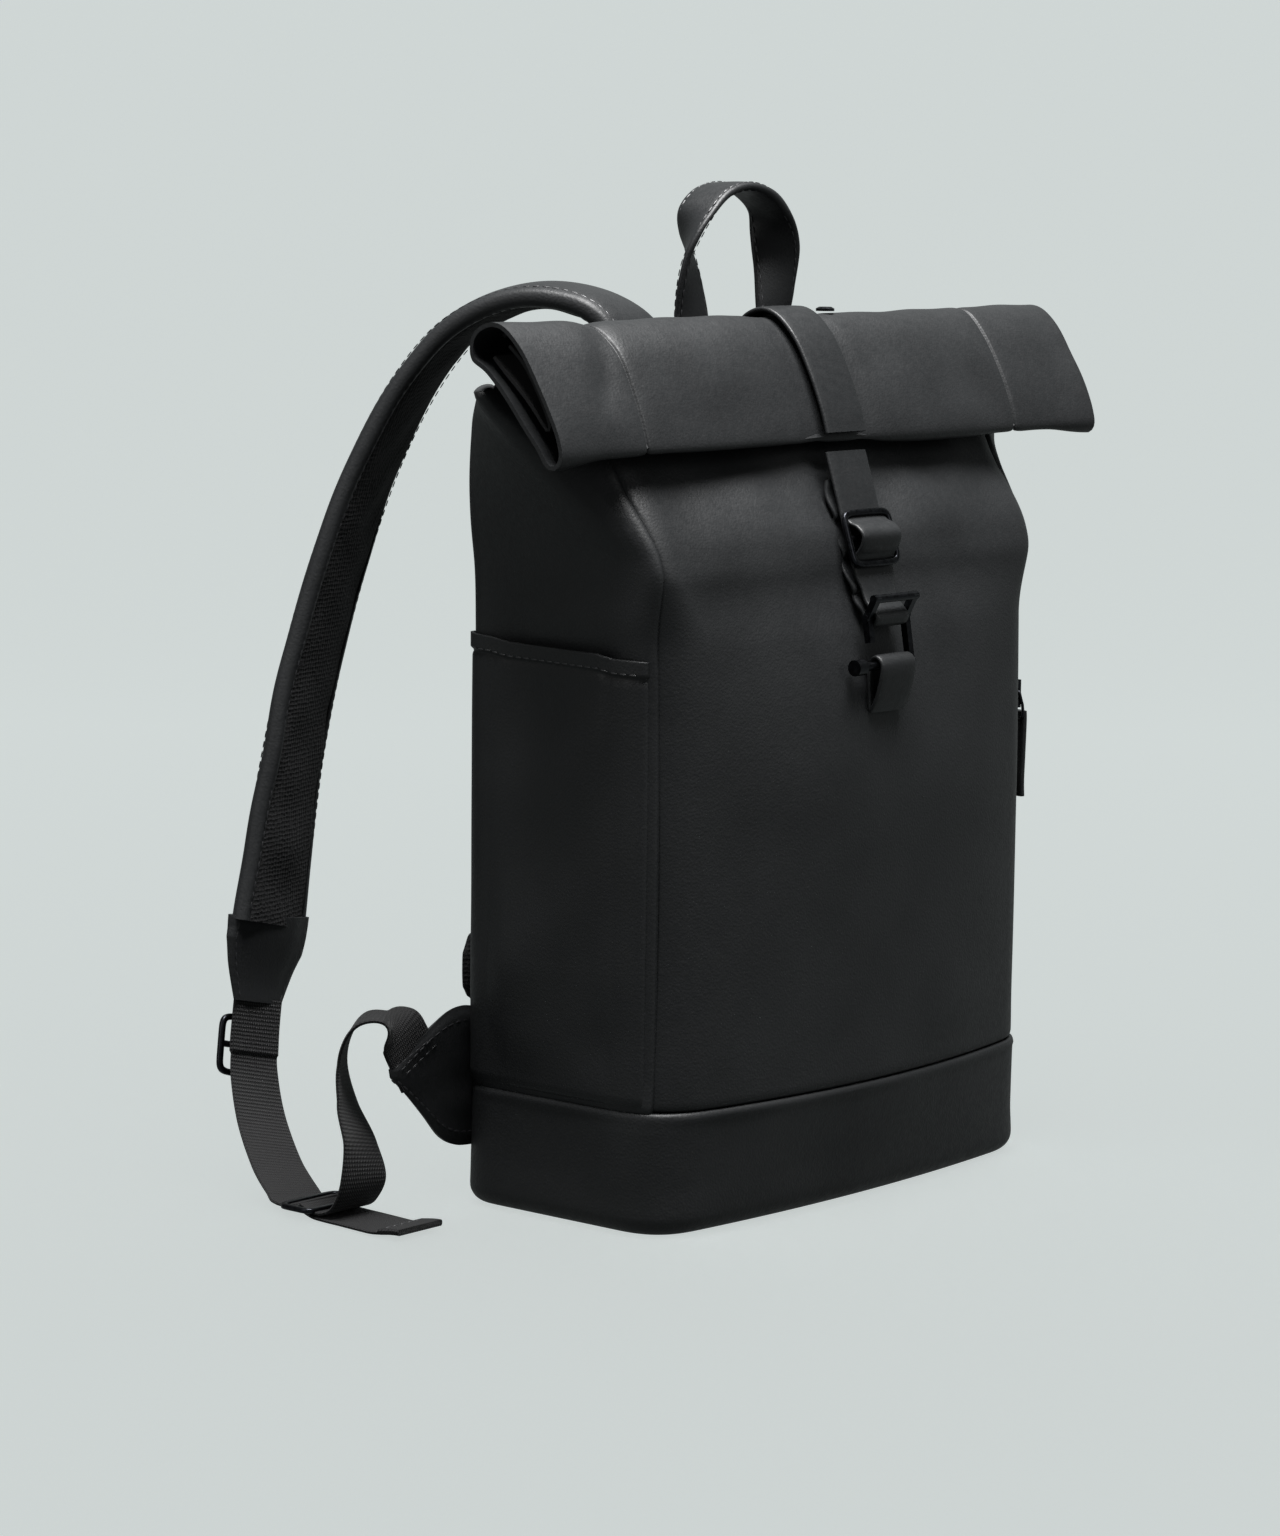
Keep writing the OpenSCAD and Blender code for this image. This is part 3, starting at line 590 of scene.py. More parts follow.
z, w = grid(np.concatenate([panel_heights, [391, 394, 398]]), np.linspace(0, 1, 60))
back = both_ways(raised(back_half(w, z), z), True)
out = outward(back, [0, 0, 200])
back = rolled_in(back + out * (0.6 * wander(back, 110, 31) - 0.4)[..., None], out, True, 58.3)
piece("back_leather", [(back, False, False, False)], "bag", hide, ["back_panel"], LEATHER_T)

# %% [markdown]
# ## Base cover
# The bottom is a separate stiff piece with a band that stands 58 mm up the walls. It is one closed
# shell here: up the outside, over a rounded top edge, and down the inside to its floor.

# %% Base cover


def round_the_bag(z, rows_in, count=44):
    """Closed outline at each height, moved in by rows_in along its own normals."""
    z = np.asarray(z, float)
    half = [front_half(*grid(z, np.linspace(0, 1, count))[::-1]),
            side(*grid(z, np.linspace(0, 1, count))[::-1])[:, 1:],
            back_half(*grid(z, np.linspace(0, 1, count))[::-1])[:, 1:]]
    right_half = np.concatenate(half, 1)
    ring = np.concatenate([right_half, (right_half * [-1, 1])[:, -2:0:-1]], 1)
    along = np.roll(ring, -1, 1) - np.roll(ring, 1, 1)
    normal = unit(np.stack([along[..., 1], -along[..., 0]], -1))
    xy = ring - normal * np.asarray(rows_in, float)[:, None, None]
    return np.concatenate([xy, np.broadcast_to(z[:, None, None], (*xy.shape[:2], 1))], -1)


turn = np.radians(np.linspace(0, 90, 9))
heel_z, heel_in = 9 * (1 - np.sin(turn)), 9 * (1 - np.cos(turn))
up_z = np.concatenate([heel_z[::-1], np.linspace(12, 53, 16),
                       [55, 56.4, 57.4, 57.9, 57.9, 57.4, 40, 14, 4.5]])
up_in = np.concatenate([heel_in[::-1], np.zeros(16), [0.1, 0.4, 0.9, 1.7, 2.6, 3.2, 3.4, 3.5, 9]])
shell = round_the_bag(np.minimum(up_z, BAND_H), up_in)
wave = wander(shell, 80, 41) * 0.5 * rise(shell[..., 2], 8, 25) * (1 - rise(shell[..., 2], 50, 57))
shell[:25] += outward(shell[:25], [0, 0, 30]) * (wave[:25] - 0.5)[..., None] * [1, 1, 0]
piece("base_leather", [(shell, False, True, True)], "bag", hide, ["base_cover"])

# %% [markdown]
# ## Profiles carried along a line
# Straps, webbing, handle and tube are all one idea: a closed profile is carried along a line, with
# its width turned the way the strap faces. Rows are places along the line, columns go round the
# profile.

# %% Strap shapes


def carried(line, way, profile):
    """Closed profile carried along a line: its x runs along way made square to the line, its y along the
    cross product of way and line."""
    line, way = np.asarray(line, float), np.broadcast_to(np.asarray(way, float), np.shape(line))
    t = unit(np.gradient(line, axis=0))
    w = unit(way - t * (way * t).sum(-1, keepdims=True))
    u = np.cross(w, t)
    profile = np.broadcast_to(profile, (len(line), *np.shape(profile)[-2:]))
    return line[:, None] + w[:, None] * profile[..., :1] + u[:, None] * profile[..., 1:]


def flat_strap(width, thick, crown=0.0, round_by=6):
    """Profile of a flat strap: two half-round edges joined by faces that rise by crown in the middle."""
    a = np.radians(np.linspace(-90, 90, round_by))
    x = np.linspace(-1, 1, 9)[1:-1] * (width - thick) / 2
    rise_by = crown * (1 - (x / (width / 2)) ** 2)
    edge = flat((width - thick) / 2 + thick / 2 * np.cos(a), thick / 2 * np.sin(a))
    top = flat(x[::-1], thick / 2 + rise_by[::-1])
    return np.concatenate([edge, top, -edge, flat(x, -thick / 2 - rise_by)])


def route(points, ways, count):
    """A route's smooth line and its ways, both evened out to count places."""
    both = smooth_line(np.concatenate([np.array(points, float), 40.0 * np.array(ways, float)], 1), 12)
    run = np.concatenate([[0.0], np.cumsum(np.linalg.norm(np.diff(both[:, :3], axis=0), axis=-1))])
    at = np.linspace(0, run[-1], count)
    both = np.stack([np.interp(at, run, both[:, k]) for k in range(6)], -1)
    return both[:, :3], unit(both[:, 3:])


def turned(angles):
    """Ways that lie level, turned from X towards Y by angles in degrees."""
    a = np.radians(angles)
    return np.stack([np.cos(a), np.sin(a), 0 * a], -1)


STITCH, STITCH_GAP, THREAD_R = 3.4, 1.5, 0.42


def sew(name, body, *lines):
    """A row of stitches along each line (points, normals): small capsules that lie in the surface."""
    beads, spread = np.array([0.0, 0.12, 0.5, 0.88, 1.0]) - 0.5, np.array([0.25, 0.85, 1.0, 0.85, 0.25])
    a = np.radians(np.arange(0, 360, 60))
    points = []
    for line, normals in lines:
        line, normals = np.asarray(line, float), np.broadcast_to(np.asarray(normals, float), np.shape(line))
        run = np.concatenate([[0.0], np.cumsum(np.linalg.norm(np.diff(line, axis=0), axis=-1))])
        at = np.arange((STITCH + STITCH_GAP) / 2, run[-1], STITCH + STITCH_GAP)
        pick = lambda v, s: np.stack([np.interp(s, run, v[:, k]) for k in range(3)], -1)
        middle, n = pick(line, at), unit(pick(normals, at))
        t = unit(pick(line, at + 0.5) - pick(line, at - 0.5))
        b = np.cross(t, n)
        ring = (n[:, None, None] * (np.sin(a) * 0.6)[:, None] + b[:, None, None] * np.cos(a)[:, None])
        points.append(middle[:, None, None] + t[:, None, None] * (beads * STITCH)[:, None, None]
                      + ring * (spread * THREAD_R)[:, None, None])
    points = np.concatenate(points)
    count, rows, cols = points.shape[:3]
    r, c = grid_corners(rows, cols, False, True)
    one = np.concatenate([(r * cols + c % cols).ravel(), np.arange(cols)[::-1],
                          np.arange(cols) + (rows - 1) * cols])
    numbers = (one + np.arange(count)[:, None] * rows * cols).ravel()
    sizes = np.tile(np.concatenate([np.full(len(r), 4), [cols, cols]]), count)
    mesh = fill_mesh(name, points.reshape(-1, 3) * MM, numbers, sizes, np.zeros((len(numbers), 2)))
    thing = bpy.data.objects.new(name, mesh)
    bpy.context.scene.collection.objects.link(thing)
    mesh.materials.append(thread)
    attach(thing, body)
    print(f"{name}: {count} stitches")
    return thing


# %% [markdown]
# ## Side pocket
# A flat pocket covers the whole left side. Its top edge is turned over and stitched down, so it is
# thicker there, and it stands a few millimetres clear of the side behind it.

# %% Left side pocket
HEM = 8.0
s_up, v = grid(np.concatenate([np.linspace(0, 0.95, 60), np.linspace(0.955, 1, 14)]), np.linspace(0, 1, 80))
pocket_top = 266 + 6 * v
z_plain = BAND_H + 0.6 + s_up * (262 - BAND_H - 0.6)
z = BAND_H + 0.6 + s_up * (pocket_top - BAND_H - 0.6)
start = FRONT_SEAM + 0.05
pocket = raised(side(v, z_plain, inset=-2.0, start=start), z)
out = outward(pocket, [0, 0, 160])
swell = 3.0 * np.sin(np.pi * v) * np.minimum(1, (z - BAND_H) / 60)
below_top = pocket_top - z
hem = 0.9 * (1 - rise(below_top, HEM - 1.5, HEM)) - 0.7 * np.exp(-((below_top - HEM - 0.6) / 1.0) ** 2)
gather = 1.1 * wander(pocket, 75, 51) + 0.5 * wander(pocket * [1, 1, 0.5], 30, 52) * np.exp(-below_top / 25)
pocket = pocket + out * (swell + hem + gather * np.sin(np.pi * v) * rise(z, 62, 90))[..., None]
pocket = rolled_in(pocket, out, True, 58.6, reach=4.0, depth=2.2)
piece("left_pocket", [(mirrored(pocket), False, False, False)], "bag", hide, ["left_side_pocket"], 1.6)
seam_row = np.argmin(np.abs(below_top[:, 40] - (HEM - 1.2)))
sew("left_pocket_stitches", "bag", (mirrored(pocket[seam_row, 3:-3] + out[seam_row, 3:-3] * 0.1),
                                    mirrored(out[seam_row, 3:-3])))

# %% [markdown]
# ## Roll top
# The top of the bag is a tube of leather pressed flat, folded forwards and down. Its section is
# carried from end to end, with an inside wall, so that the open ends show the fold of cloth within.

# %% The roll and the fold inside it
ROLL_HALF = 204.0
ROLL_EDGE = [[0.5, 401.5], [1.5, 410], [-3, 416.5], [-12, 419.5], [-21, 416.5], [-31, 406.5], [-40, 391],
             [-47, 375], [-50.5, 364], [-50, 359.5], [-46.5, 359]]
ROLL_BACK = [[-40, 367.5], [-24, 383], [-9, 396]]
ROLL_FOLD = [[-10, 404], [-27, 388], [-39.5, 374.5], [-42, 372.5], [-42.6, 375.5], [-37.5, 386], [-28, 399],
             [-18, 408]]

section = even(smooth_line(ROLL_EDGE + ROLL_BACK, 10, closed=True), 120)
along = np.roll(section, -1, 0) - np.roll(section, 1, 0)
section_out = unit(np.stack([along[:, 1], -along[:, 0]], -1))
section_out *= np.sign((section_out * (section - section.mean(0))).sum())
x_at = np.unique(np.concatenate([np.linspace(-ROLL_HALF, ROLL_HALF, 150), np.linspace(-143, -137, 25),
                                 np.linspace(137, 143, 25)]))


def roll_wall(x, inside):
    """The tube's wall at each x: the section, with seams, creases and slow waves pushed along its normals."""
    x = x[:, None]
    y, h = section[None, :, 0], section[None, :, 1]
    push = -1.1 * np.exp(-((np.abs(x) - 140) / 0.8) ** 2) - 0.5 * np.exp(-((np.abs(x) - 140) / 3.5) ** 2)
    front_side = rise(-y, -2, 14)
    push = push - 1.6 * np.exp(-((x + 158 - 0.55 * (h - 390)) / 9) ** 2) * front_side * rise(h, 372, 392)
    beside_strap = np.exp(-((np.abs(x) - 21) / 7) ** 2)
    push = push - 1.2 * beside_strap * front_side
    push = push - 1.0 * (1 - rise(np.abs(x), 14, 22))
    spread = np.stack(np.broadcast_arrays(x, y, h), -1)
    free = 0.25 + 0.75 * rise(np.abs(x), 17, 42)                                 # the strap holds it flat
    push = push + free * (0.55 * wander(spread * [1, 1.6, 1.6], 95, 61) + 0.2 * wander(spread, 34, 62))
    flare = 2.5 * rise(np.abs(x), 170, 204) * front_side * (1 - rise(h, 368, 400))
    push = push + flare - 0.5 - inside * 2.0
    return np.stack(np.broadcast_arrays(x, y + section_out[:, 0] * push, h + section_out[:, 1] * push), -1)


tube = np.concatenate([roll_wall(x_at, 0), roll_wall(x_at[::-1], 1)])
piece("roll_leather", [(tube, True, True, False)], "roll_top", hide, ["roll_outer"])

fold = even(smooth_line(ROLL_FOLD, 8), 60)
fold_x = np.linspace(-ROLL_HALF + 4, ROLL_HALF - 4, 60)
fold_out = unit(np.gradient(fold, axis=0))[:, ::-1] * [1, -1]
ripple = 0.5 * wander(np.stack(np.broadcast_arrays(fold_x[:, None], fold[None, :, 0], fold[None, :, 1]), -1),
                      60, 65)
sheet_at = lambda off: np.stack(np.broadcast_arrays(
    fold_x[:, None], fold[None, :, 0] + fold_out[:, 0] * (off + ripple),
    fold[None, :, 1] + fold_out[:, 1] * (off + ripple)), -1)
inner = np.concatenate([sheet_at(0.8), sheet_at(-0.8)[:, ::-1]], 1)
cloth = piece("roll_inner_cloth", [(inner, False, True, True)], "roll_top", lining_cloth, ["roll_inner"])

# %% [markdown]
# ## Closure
# A flat strap runs from the back over the roll and down the front. It passes behind the slider's
# top bar, over its middle bar and behind the bottom one, then round the bar of the hook and back up
# behind itself as a loose wavy layer. The hook's lower rod is held in a leather tab on the front.

# %% Closure strap, slider, hook and tab
CLOSURE_W, CLOSURE_Y, CLOSURE_Z, CLOSURE_TILT, HOOK_BAR = 30.0, -53.0, 357.0, -18.0, 82.0
SIDEWAYS = [1.0, 0.0, 0.0]


def offset_line(line, d):
    """A line in the Y-Z plane moved sideways by d."""
    t = unit(np.gradient(np.asarray(line, float), axis=0))
    return line + np.stack([t[:, 1], -t[:, 0]], -1) * d


def across_x(yz):
    """Points in the Y-Z plane as points in space at x = 0."""
    return np.concatenate([np.zeros((len(yz), 1)), yz], 1)


def hung(yz):
    """Points (y, z) of the hanging strap's own frame, z up from where it leaves the roll, put in place."""
    yz, a = np.asarray(yz, float), math.radians(CLOSURE_TILT)
    return np.stack([CLOSURE_Y + yz[:, 0] * math.cos(a) - yz[:, 1] * math.sin(a),
                     CLOSURE_Z + yz[:, 0] * math.sin(a) + yz[:, 1] * math.cos(a)], -1)


def closure_band(name, yz, width, thick, body, stands_for, count=90, material=strap_hide):
    line = across_x(even(smooth_line(yz, 10), count))
    thing = piece(name, [(carried(line, SIDEWAYS, flat_strap(width, thick, 0.25)), False, True, True)], body,
                  material, stands_for)
    return thing, line


closure_band("closure_strap_over_roll", offset_line(np.array(ROLL_EDGE[:-2]), 2.0), CLOSURE_W, 2.2,
             "roll_top", ["closure_strap_top"], 120)
closure_band("closure_strap_start", [[38.0, 381.6], [26.0, 394.2], [17.0, 400.4]], CLOSURE_W, 2.2, "bag",
             ["closure_anchor"], 30)
around_bar = [[3.4 * math.sin(math.radians(a)), -HOOK_BAR - 3.4 * math.cos(math.radians(a))]
              for a in (-100, -60, -20, 20, 60, 100)]
strap_path = ([[1.3, -1], [1.2, -15], [1.2, -30], [1.2, -44], [1.2, -56], [1.3, -66], [0.4, -74]] + around_bar
              + [[4.0, -76], [5.2, -70], [4.2, -63], [6.0, -55], [4.6, -47], [6.2, -38], [4.4, -29],
                 [5.4, -21],
                 [4.2, -14]])
line = across_x(even(hung(smooth_line(strap_path, 10)), 200))
run = np.linspace(0, 1, 200)
widths = np.stack([1 - 0.17 * rise(run, 0.36, 0.42) + 0.17 * rise(run, 0.58, 0.64), np.ones(200)], -1)
shift = np.stack([-1.6 * rise(run, 0.6, 0.75) - 0.8 * np.sin(run * 55) * rise(run, 0.6, 0.7), 0 * run,
                  0 * run], -1)
piece("closure_strap_hanging",
      [(carried(line + shift, SIDEWAYS, flat_strap(CLOSURE_W, 2.0, 0.2) * widths[:, None]),
                                 False, True, True)], "hanging_strap", strap_hide, ["closure_strap"])
closure_band("strap_over_slider_bar",
             hung([[-0.6, -54.5], [-2.6, -51.5], [-6.4, -48.5], [-8.6, -44], [-6.4, -39.5],
                                            [-2.6, -36.5], [-0.6, -33.5]]), CLOSURE_W - 0.5, 1.8, "slider",
             ["slider_loop"], 60)


def placed(points, *moves):
    """Points taken through moves in turn: ("x" | "y" | "z", degrees) turns about that axis, and
    (x, y, z) shifts."""
    for move in moves:
        if isinstance(move[0], str):
            a, k = math.radians(move[1]), "xyz".index(move[0])
            i, j = (k + 1) % 3, (k + 2) % 3
            turned_points = points.copy()
            turned_points[..., i] = points[..., i] * math.cos(a) - points[..., j] * math.sin(a)
            turned_points[..., j] = points[..., i] * math.sin(a) + points[..., j] * math.cos(a)
            points = turned_points
        else:
            points = points + np.array(move, float)
    return points


def frame_grids(width, height, bar, thick, middle_bar=True):
    """A flat buckle: a round-cornered loop of bar, and a bar across its middle, lying in X and Z."""
    a = np.linspace(0, 2 * np.pi, 72, endpoint=False)
    box_round = lambda v, e: np.sign(v) * np.abs(v) ** e
    half_w, half_h = (width - bar) / 2, (height - bar) / 2
    loop = np.stack([half_w * box_round(np.cos(a), 0.28), 0 * a, half_h * box_round(np.sin(a), 0.28)], -1)
    t = unit(np.roll(loop, -1, 0) - np.roll(loop, 1, 0))
    n = np.cross(t, [0.0, 1.0, 0.0])
    b = np.radians(np.arange(0, 360, 30))
    ring_x, ring_y = bar / 2 * box_round(np.cos(b), 0.6), thick / 2 * box_round(np.sin(b), 0.6)
    ring = loop[:, None] + n[:, None] * ring_x[:, None] + np.array([0.0, 1.0, 0.0]) * ring_y[:, None]
    grids = [(ring, True, True, False)]
    if middle_bar:
        x = np.linspace(-half_w, half_w, 20)
        rod = np.stack(np.broadcast_arrays(x[:, None], thick / 2 * np.sin(b), bar / 2 * np.cos(b)), -1)
        grids.append((rod, False, True, True))
    return grids


def buckle(name, size, body, stands_for, *moves):
    grids = [(placed(p, (0, size[3] / 2, 0), *moves), *rest) for p, *rest in frame_grids(*size)]
    return piece(name, grids, body, plated, stands_for)


buckle("slider_frame", (37, 28, 3.2, 2.8), "slider", ["closure_slider"], (0, -3.3, -44), ("x", CLOSURE_TILT),
       (0, CLOSURE_Y, CLOSURE_Z))
tab_line = [[-79.2, 235], [-82.2, 240], [-84.6, 247.5], [-86.0, 254], [-85.6, 258.6], [-82.2, 261],
            [-78.9, 258.4],
            [-78.3, 252], [-78.6, 244], [-78.8, 236]]
closure_band("keeper_tab_leather", tab_line, 26, 1.9, "bag", ["keeper_tab"], 110)
sew("closure_stitches", "bag", ([[-11.0, -82.0, 238.0], [11.0, -82.0, 238.0]], [0.0, -0.8, -0.6]))

# %% [markdown]
# ## Carry handle
# One strap of doubled leather, both ends sewn down side by side in the back seam. Each leg stands
# flat to the front and twists a quarter turn on its way up.

# %% Handle
HANDLE = [[-31, 18, 397], [-31, 18, 415], [-32, 18, 430], [-32.5, 18, 444], [-31, 18, 457], [-26, 18, 468],
          [-15, 18, 476], [0, 18, 479]]
HANDLE_TURN = [0, 0, 12, 32, 62, 88, 90, 90]
points = HANDLE + [[-x, y, z] for x, y, z in HANDLE[-2::-1]]
turns = HANDLE_TURN + [180 - a for a in HANDLE_TURN[-2::-1]]
line, way = route(points, turned(turns), 160)
handle = carried(line, way, flat_strap(24, 3.8, 0.3))
handle = handle + (0.25 * wander(handle, 30, 71))[..., None] * outward(handle)
piece("carry_handle_leather", [(handle, False, True, True)], "carry_handle", strap_hide, ["handle"])
t = unit(np.gradient(line, axis=0))
face = np.cross(unit(way - t * (way * t).sum(-1, keepdims=True)), t)
sew("carry_handle_stitches", "carry_handle",
    *[(line + way * e + face * f * 2.05, face * f) for e in (-9.6, 9.6) for f in (-1, 1)])

# %% [markdown]
# ## Shoulder straps
# A strap is leather outside and foam under mesh inside. The leather is turned over both edges and
# sewn down, so it frames the mesh with a border. Below a stitched leather tip the strap becomes
# webbing, which runs through two buckles to the wing at the foot of the bag.

# %% Padded straps
WEBBING = flat_strap(30, 1.7)    # its profile: width and thickness
LEFT_PAD = [[-48, 33, 391], [-49, 34, 401], [-52, 42, 414], [-58, 56, 423], [-66, 76, 426.5],
            [-74, 96, 422.5],
            [-83, 114, 412], [-91, 127, 397], [-101, 140, 372], [-112, 151, 339], [-124, 160, 297],
            [-136, 166.5, 249],
            [-147, 169, 202], [-157, 169, 154], [-164, 168, 123]]
LEFT_TURN = [0, 10, 18, 24, 24, 24, 24, 24, 23, 22, 20, 19, 18, 15, 12]
LEFT_TIP = [[-163.2, 168, 127], [-164.6, 168, 119], [-169, 167.5, 104], [-173, 166, 86]]
LEFT_UPPER = [[-172.6, 166, 88], [-177, 164, 68], [-181, 160, 52], [-187, 149, 33], [-195, 131, 16],
              [-202, 113, 6],
              [-204, 106.5, 4], [-204.6, 98, 4.4], [-205, 90, 6.4]]
LEFT_LOWER = [[-171, 60, 66], [-180, 60.3, 80.8], [-184, 61.2, 88], [-189, 65, 94], [-195, 74, 93],
              [-198, 81, 84], [-199, 84, 70],
              [-200, 79, 53], [-202, 69, 36], [-204, 65, 20], [-205, 70, 8], [-205.5, 77, 4],
              [-205.3, 84, 4.2],
              [-205, 90, 6.0]]
LEFT_LOWER_WAY = [[0.88, 0, 0.47], [0.88, 0, 0.47], [0.85, 0.1, 0.35], [0.8, 0.6, 0], [0.8, 0.6, 0],
                  [0.8, 0.6, 0],
                  [0.8, 0.6, 0], [0.85, 0.5, 0], [0.95, 0.3, 0], [1, 0, 0], [1, 0, 0], [1, 0, 0], [1, 0, 0],
                  [1, 0, 0]]
LEFT_TAIL = [[-205, 90, 3.6], [-205.3, 83, 1.6], [-205.6, 76, 1.2], [-207, 62, 1.4], [-209, 42, 1.6],
             [-209, 24, 1.5]]
RIGHT_PAD = [[50, 33, 391], [50, 36, 398], [52, 46, 403], [56, 60, 402], [62, 76, 393], [69, 92, 375],
             [77, 106, 350],
             [87, 120, 316], [98, 132, 277], [110, 142, 236], [122, 150, 193], [135, 155, 150],
             [147, 156, 112],
             [155, 154, 86]]
RIGHT_TURN = [0, -4, -8, -10] + [-12] * 10
RIGHT_TIP = [[154.6, 154.2, 90], [156, 153.6, 82], [160, 152, 68], [164, 149, 50]]
RIGHT_UPPER = [[163.6, 149.4, 52], [167, 147.5, 36], [173, 144, 22], [184, 137, 11], [196, 127, 6],
               [203, 116, 4.2],
               [204.5, 107.5, 4], [204.8, 98, 4.4], [205, 90, 6.4]]

COVER = np.array([[-23.6, -4.9], [-26.4, -4.3], [-28, -2.2], [-28, 0.8], [-26.4, 3.6], [-18, 5.8], [0, 6.9],
                  [18, 5.8],
                  [26.4, 3.6], [28, 0.8], [28, -2.2], [26.4, -4.3], [23.6, -4.9], [23.6, -3.7], [25.4, -3.1],
                  [26.5, -1.4], [26.4, 0.6], [24.8, 2.4], [17, 4.3], [0, 5.3], [-17, 4.3], [-24.8, 2.4],
                  [-26.4, 0.6], [-26.5, -1.4], [-25.4, -3.1], [-23.6, -3.7]])
FOAM = np.array([[-25.2, -2.4], [-23.8, -4.1], [-20.4, -5.5], [-10, -6.5], [0, -6.9], [10, -6.5],
                 [20.4, -5.5],
                 [23.8, -4.1], [25.2, -2.4], [25.2, 0], [22, 2.4], [15, 3.8], [0, 4.6], [-15, 3.8],
                 [-22, 2.4],
                 [-25.2, 0]])


def shoulder_strap(hand, pad_route, pad_turn, tip_route, tip_way, upper_route):
    """One strap: cover, foam, tip, webbing and their stitches; hand is "left" or "right"."""
    body = f"{hand}_shoulder_strap"
    line, way = route(pad_route, turned(np.array(pad_turn, float)), 170)
    t = unit(np.gradient(line, axis=0))
    way = unit(way - t * (way * t).sum(-1, keepdims=True))
    u = np.cross(way, t)
    cover = carried(line, way, even(smooth_line(COVER, 4, closed=True), 92))
    cover = cover + (0.35 * wander(cover, 60, 81))[..., None] * u[:, None]
    piece(f"{hand}_strap_cover", [(cover, False, True, True)], body, hide, [f"{hand}_strap_leather"])
    foam = carried(line, way, even(smooth_line(FOAM, 5, closed=True), 60))
    foam = foam + (0.4 * wander(foam, 26, 83))[..., None] * u[:, None]
    pad = piece(f"{hand}_strap_foam", [(foam, False, True, True)], body, mesh_cloth,
                [f"{hand}_strap_padding"])
    rows = [(line + way * e - u * 4.9, -u) for e in (-25.0, 25.0)]
    rows += [(line + way * e + u * 4.7, u) for e in (-23.4, 23.4)]
    sew(f"{hand}_strap_stitches", body, *[(a[2:-2], b[2:-2]) for a, b in rows])

    line, tip_ways = route(tip_route, [tip_way] * len(tip_route), 60)
    s = np.linspace(0, 1, 60)
    wide = np.interp(s, [0, 0.35, 1], [59, 57.5, 35])
    deep = 14.5 - 8.5 * rise(s, 0.05, 0.9)
    shape = flat_strap(1.0, 0.3, 0.1, 8)
    shape = shape / np.abs(shape).max(0) / 2
    tip = carried(line, tip_ways, shape * np.stack([wide, deep], -1)[:, None])
    piece(f"{hand}_strap_tip_leather", [(tip, False, True, True)], body, hide, [f"{hand}_strap_tip"])
    t = unit(np.gradient(line, axis=0))
    w = unit(tip_ways - t * (tip_ways * t).sum(-1, keepdims=True))
    u = np.cross(w, t)
    # The tip's edge is an ellipse, so its half depth at the stitches is less than in the middle.
    near_edge = 0.3 * deep * np.sqrt(1 - (1 - 3.2 / (0.15 * wide)) ** 2)
    rows = [(line + w * (e * (wide / 2 - 3.2))[:, None] + u * (f * near_edge)[:, None], u * f)
            for e in (-1, 1) for f in (-1, 1)]
    sew(f"{hand}_strap_tip_stitches", body, *[(a[3:-3], b[3:-3]) for a, b in rows])

    line, way = route(upper_route, [SIDEWAYS] * len(upper_route), 200)
    double = 1 - rise(np.linspace(0, 1, 200), 0.20, 0.21)              # folded double down to the buckle
    layers = WEBBING * np.stack([1 + 0.02 * double, 1 + 1.1 * double], -1)[:, None]
    piece(f"{hand}_webbing_to_buckle", [(carried(line, way, layers), False, True, True)], body, webbing_cloth,
          [f"{hand}_webbing_upper"])


shoulder_strap("left", LEFT_PAD, LEFT_TURN, LEFT_TIP, [1, 0.1, 0], LEFT_UPPER)
shoulder_strap("right", RIGHT_PAD, RIGHT_TURN, RIGHT_TIP, [0.98, -0.2, 0], RIGHT_UPPER)

buckle("left_adjuster_frame", (39, 30, 3.2, 2.6), "left_shoulder_strap", ["left_adjuster"], ("y", 14),
       ("x", -8),
       (-178.5, 165.8, 65))
buckle("right_adjuster_frame", (39, 30, 3.2, 2.6), "right_shoulder_strap", ["right_adjuster"], ("y", -16),
       ("x", -12),
       (168, 149.4, 34))

# %% [markdown]
# The webbing from the wing stands up in a loop, falls and turns over on its way to the floor, where
# a second buckle joins it to the strap. Its free tail ends in a folded, stitched hem.

# %% Webbing on the floor and the wings
WING = [[[130, 60.5, 92], [142, 60, 94.2], [153, 60, 92.6], [166, 60, 86], [180, 60, 78], [192.5, 60, 70.6]],
        [[130, 60.5, 26], [146, 60, 27.6], [158, 60, 33.4], [170, 60, 46], [182, 60, 58], [191.5, 60, 66.6]]]


def flipped(points, flip):
    """Points as they are or, where flip is true, their mirror image in the plane x = 0."""
    return np.array(points, float) * [-1 if flip else 1, 1, 1]


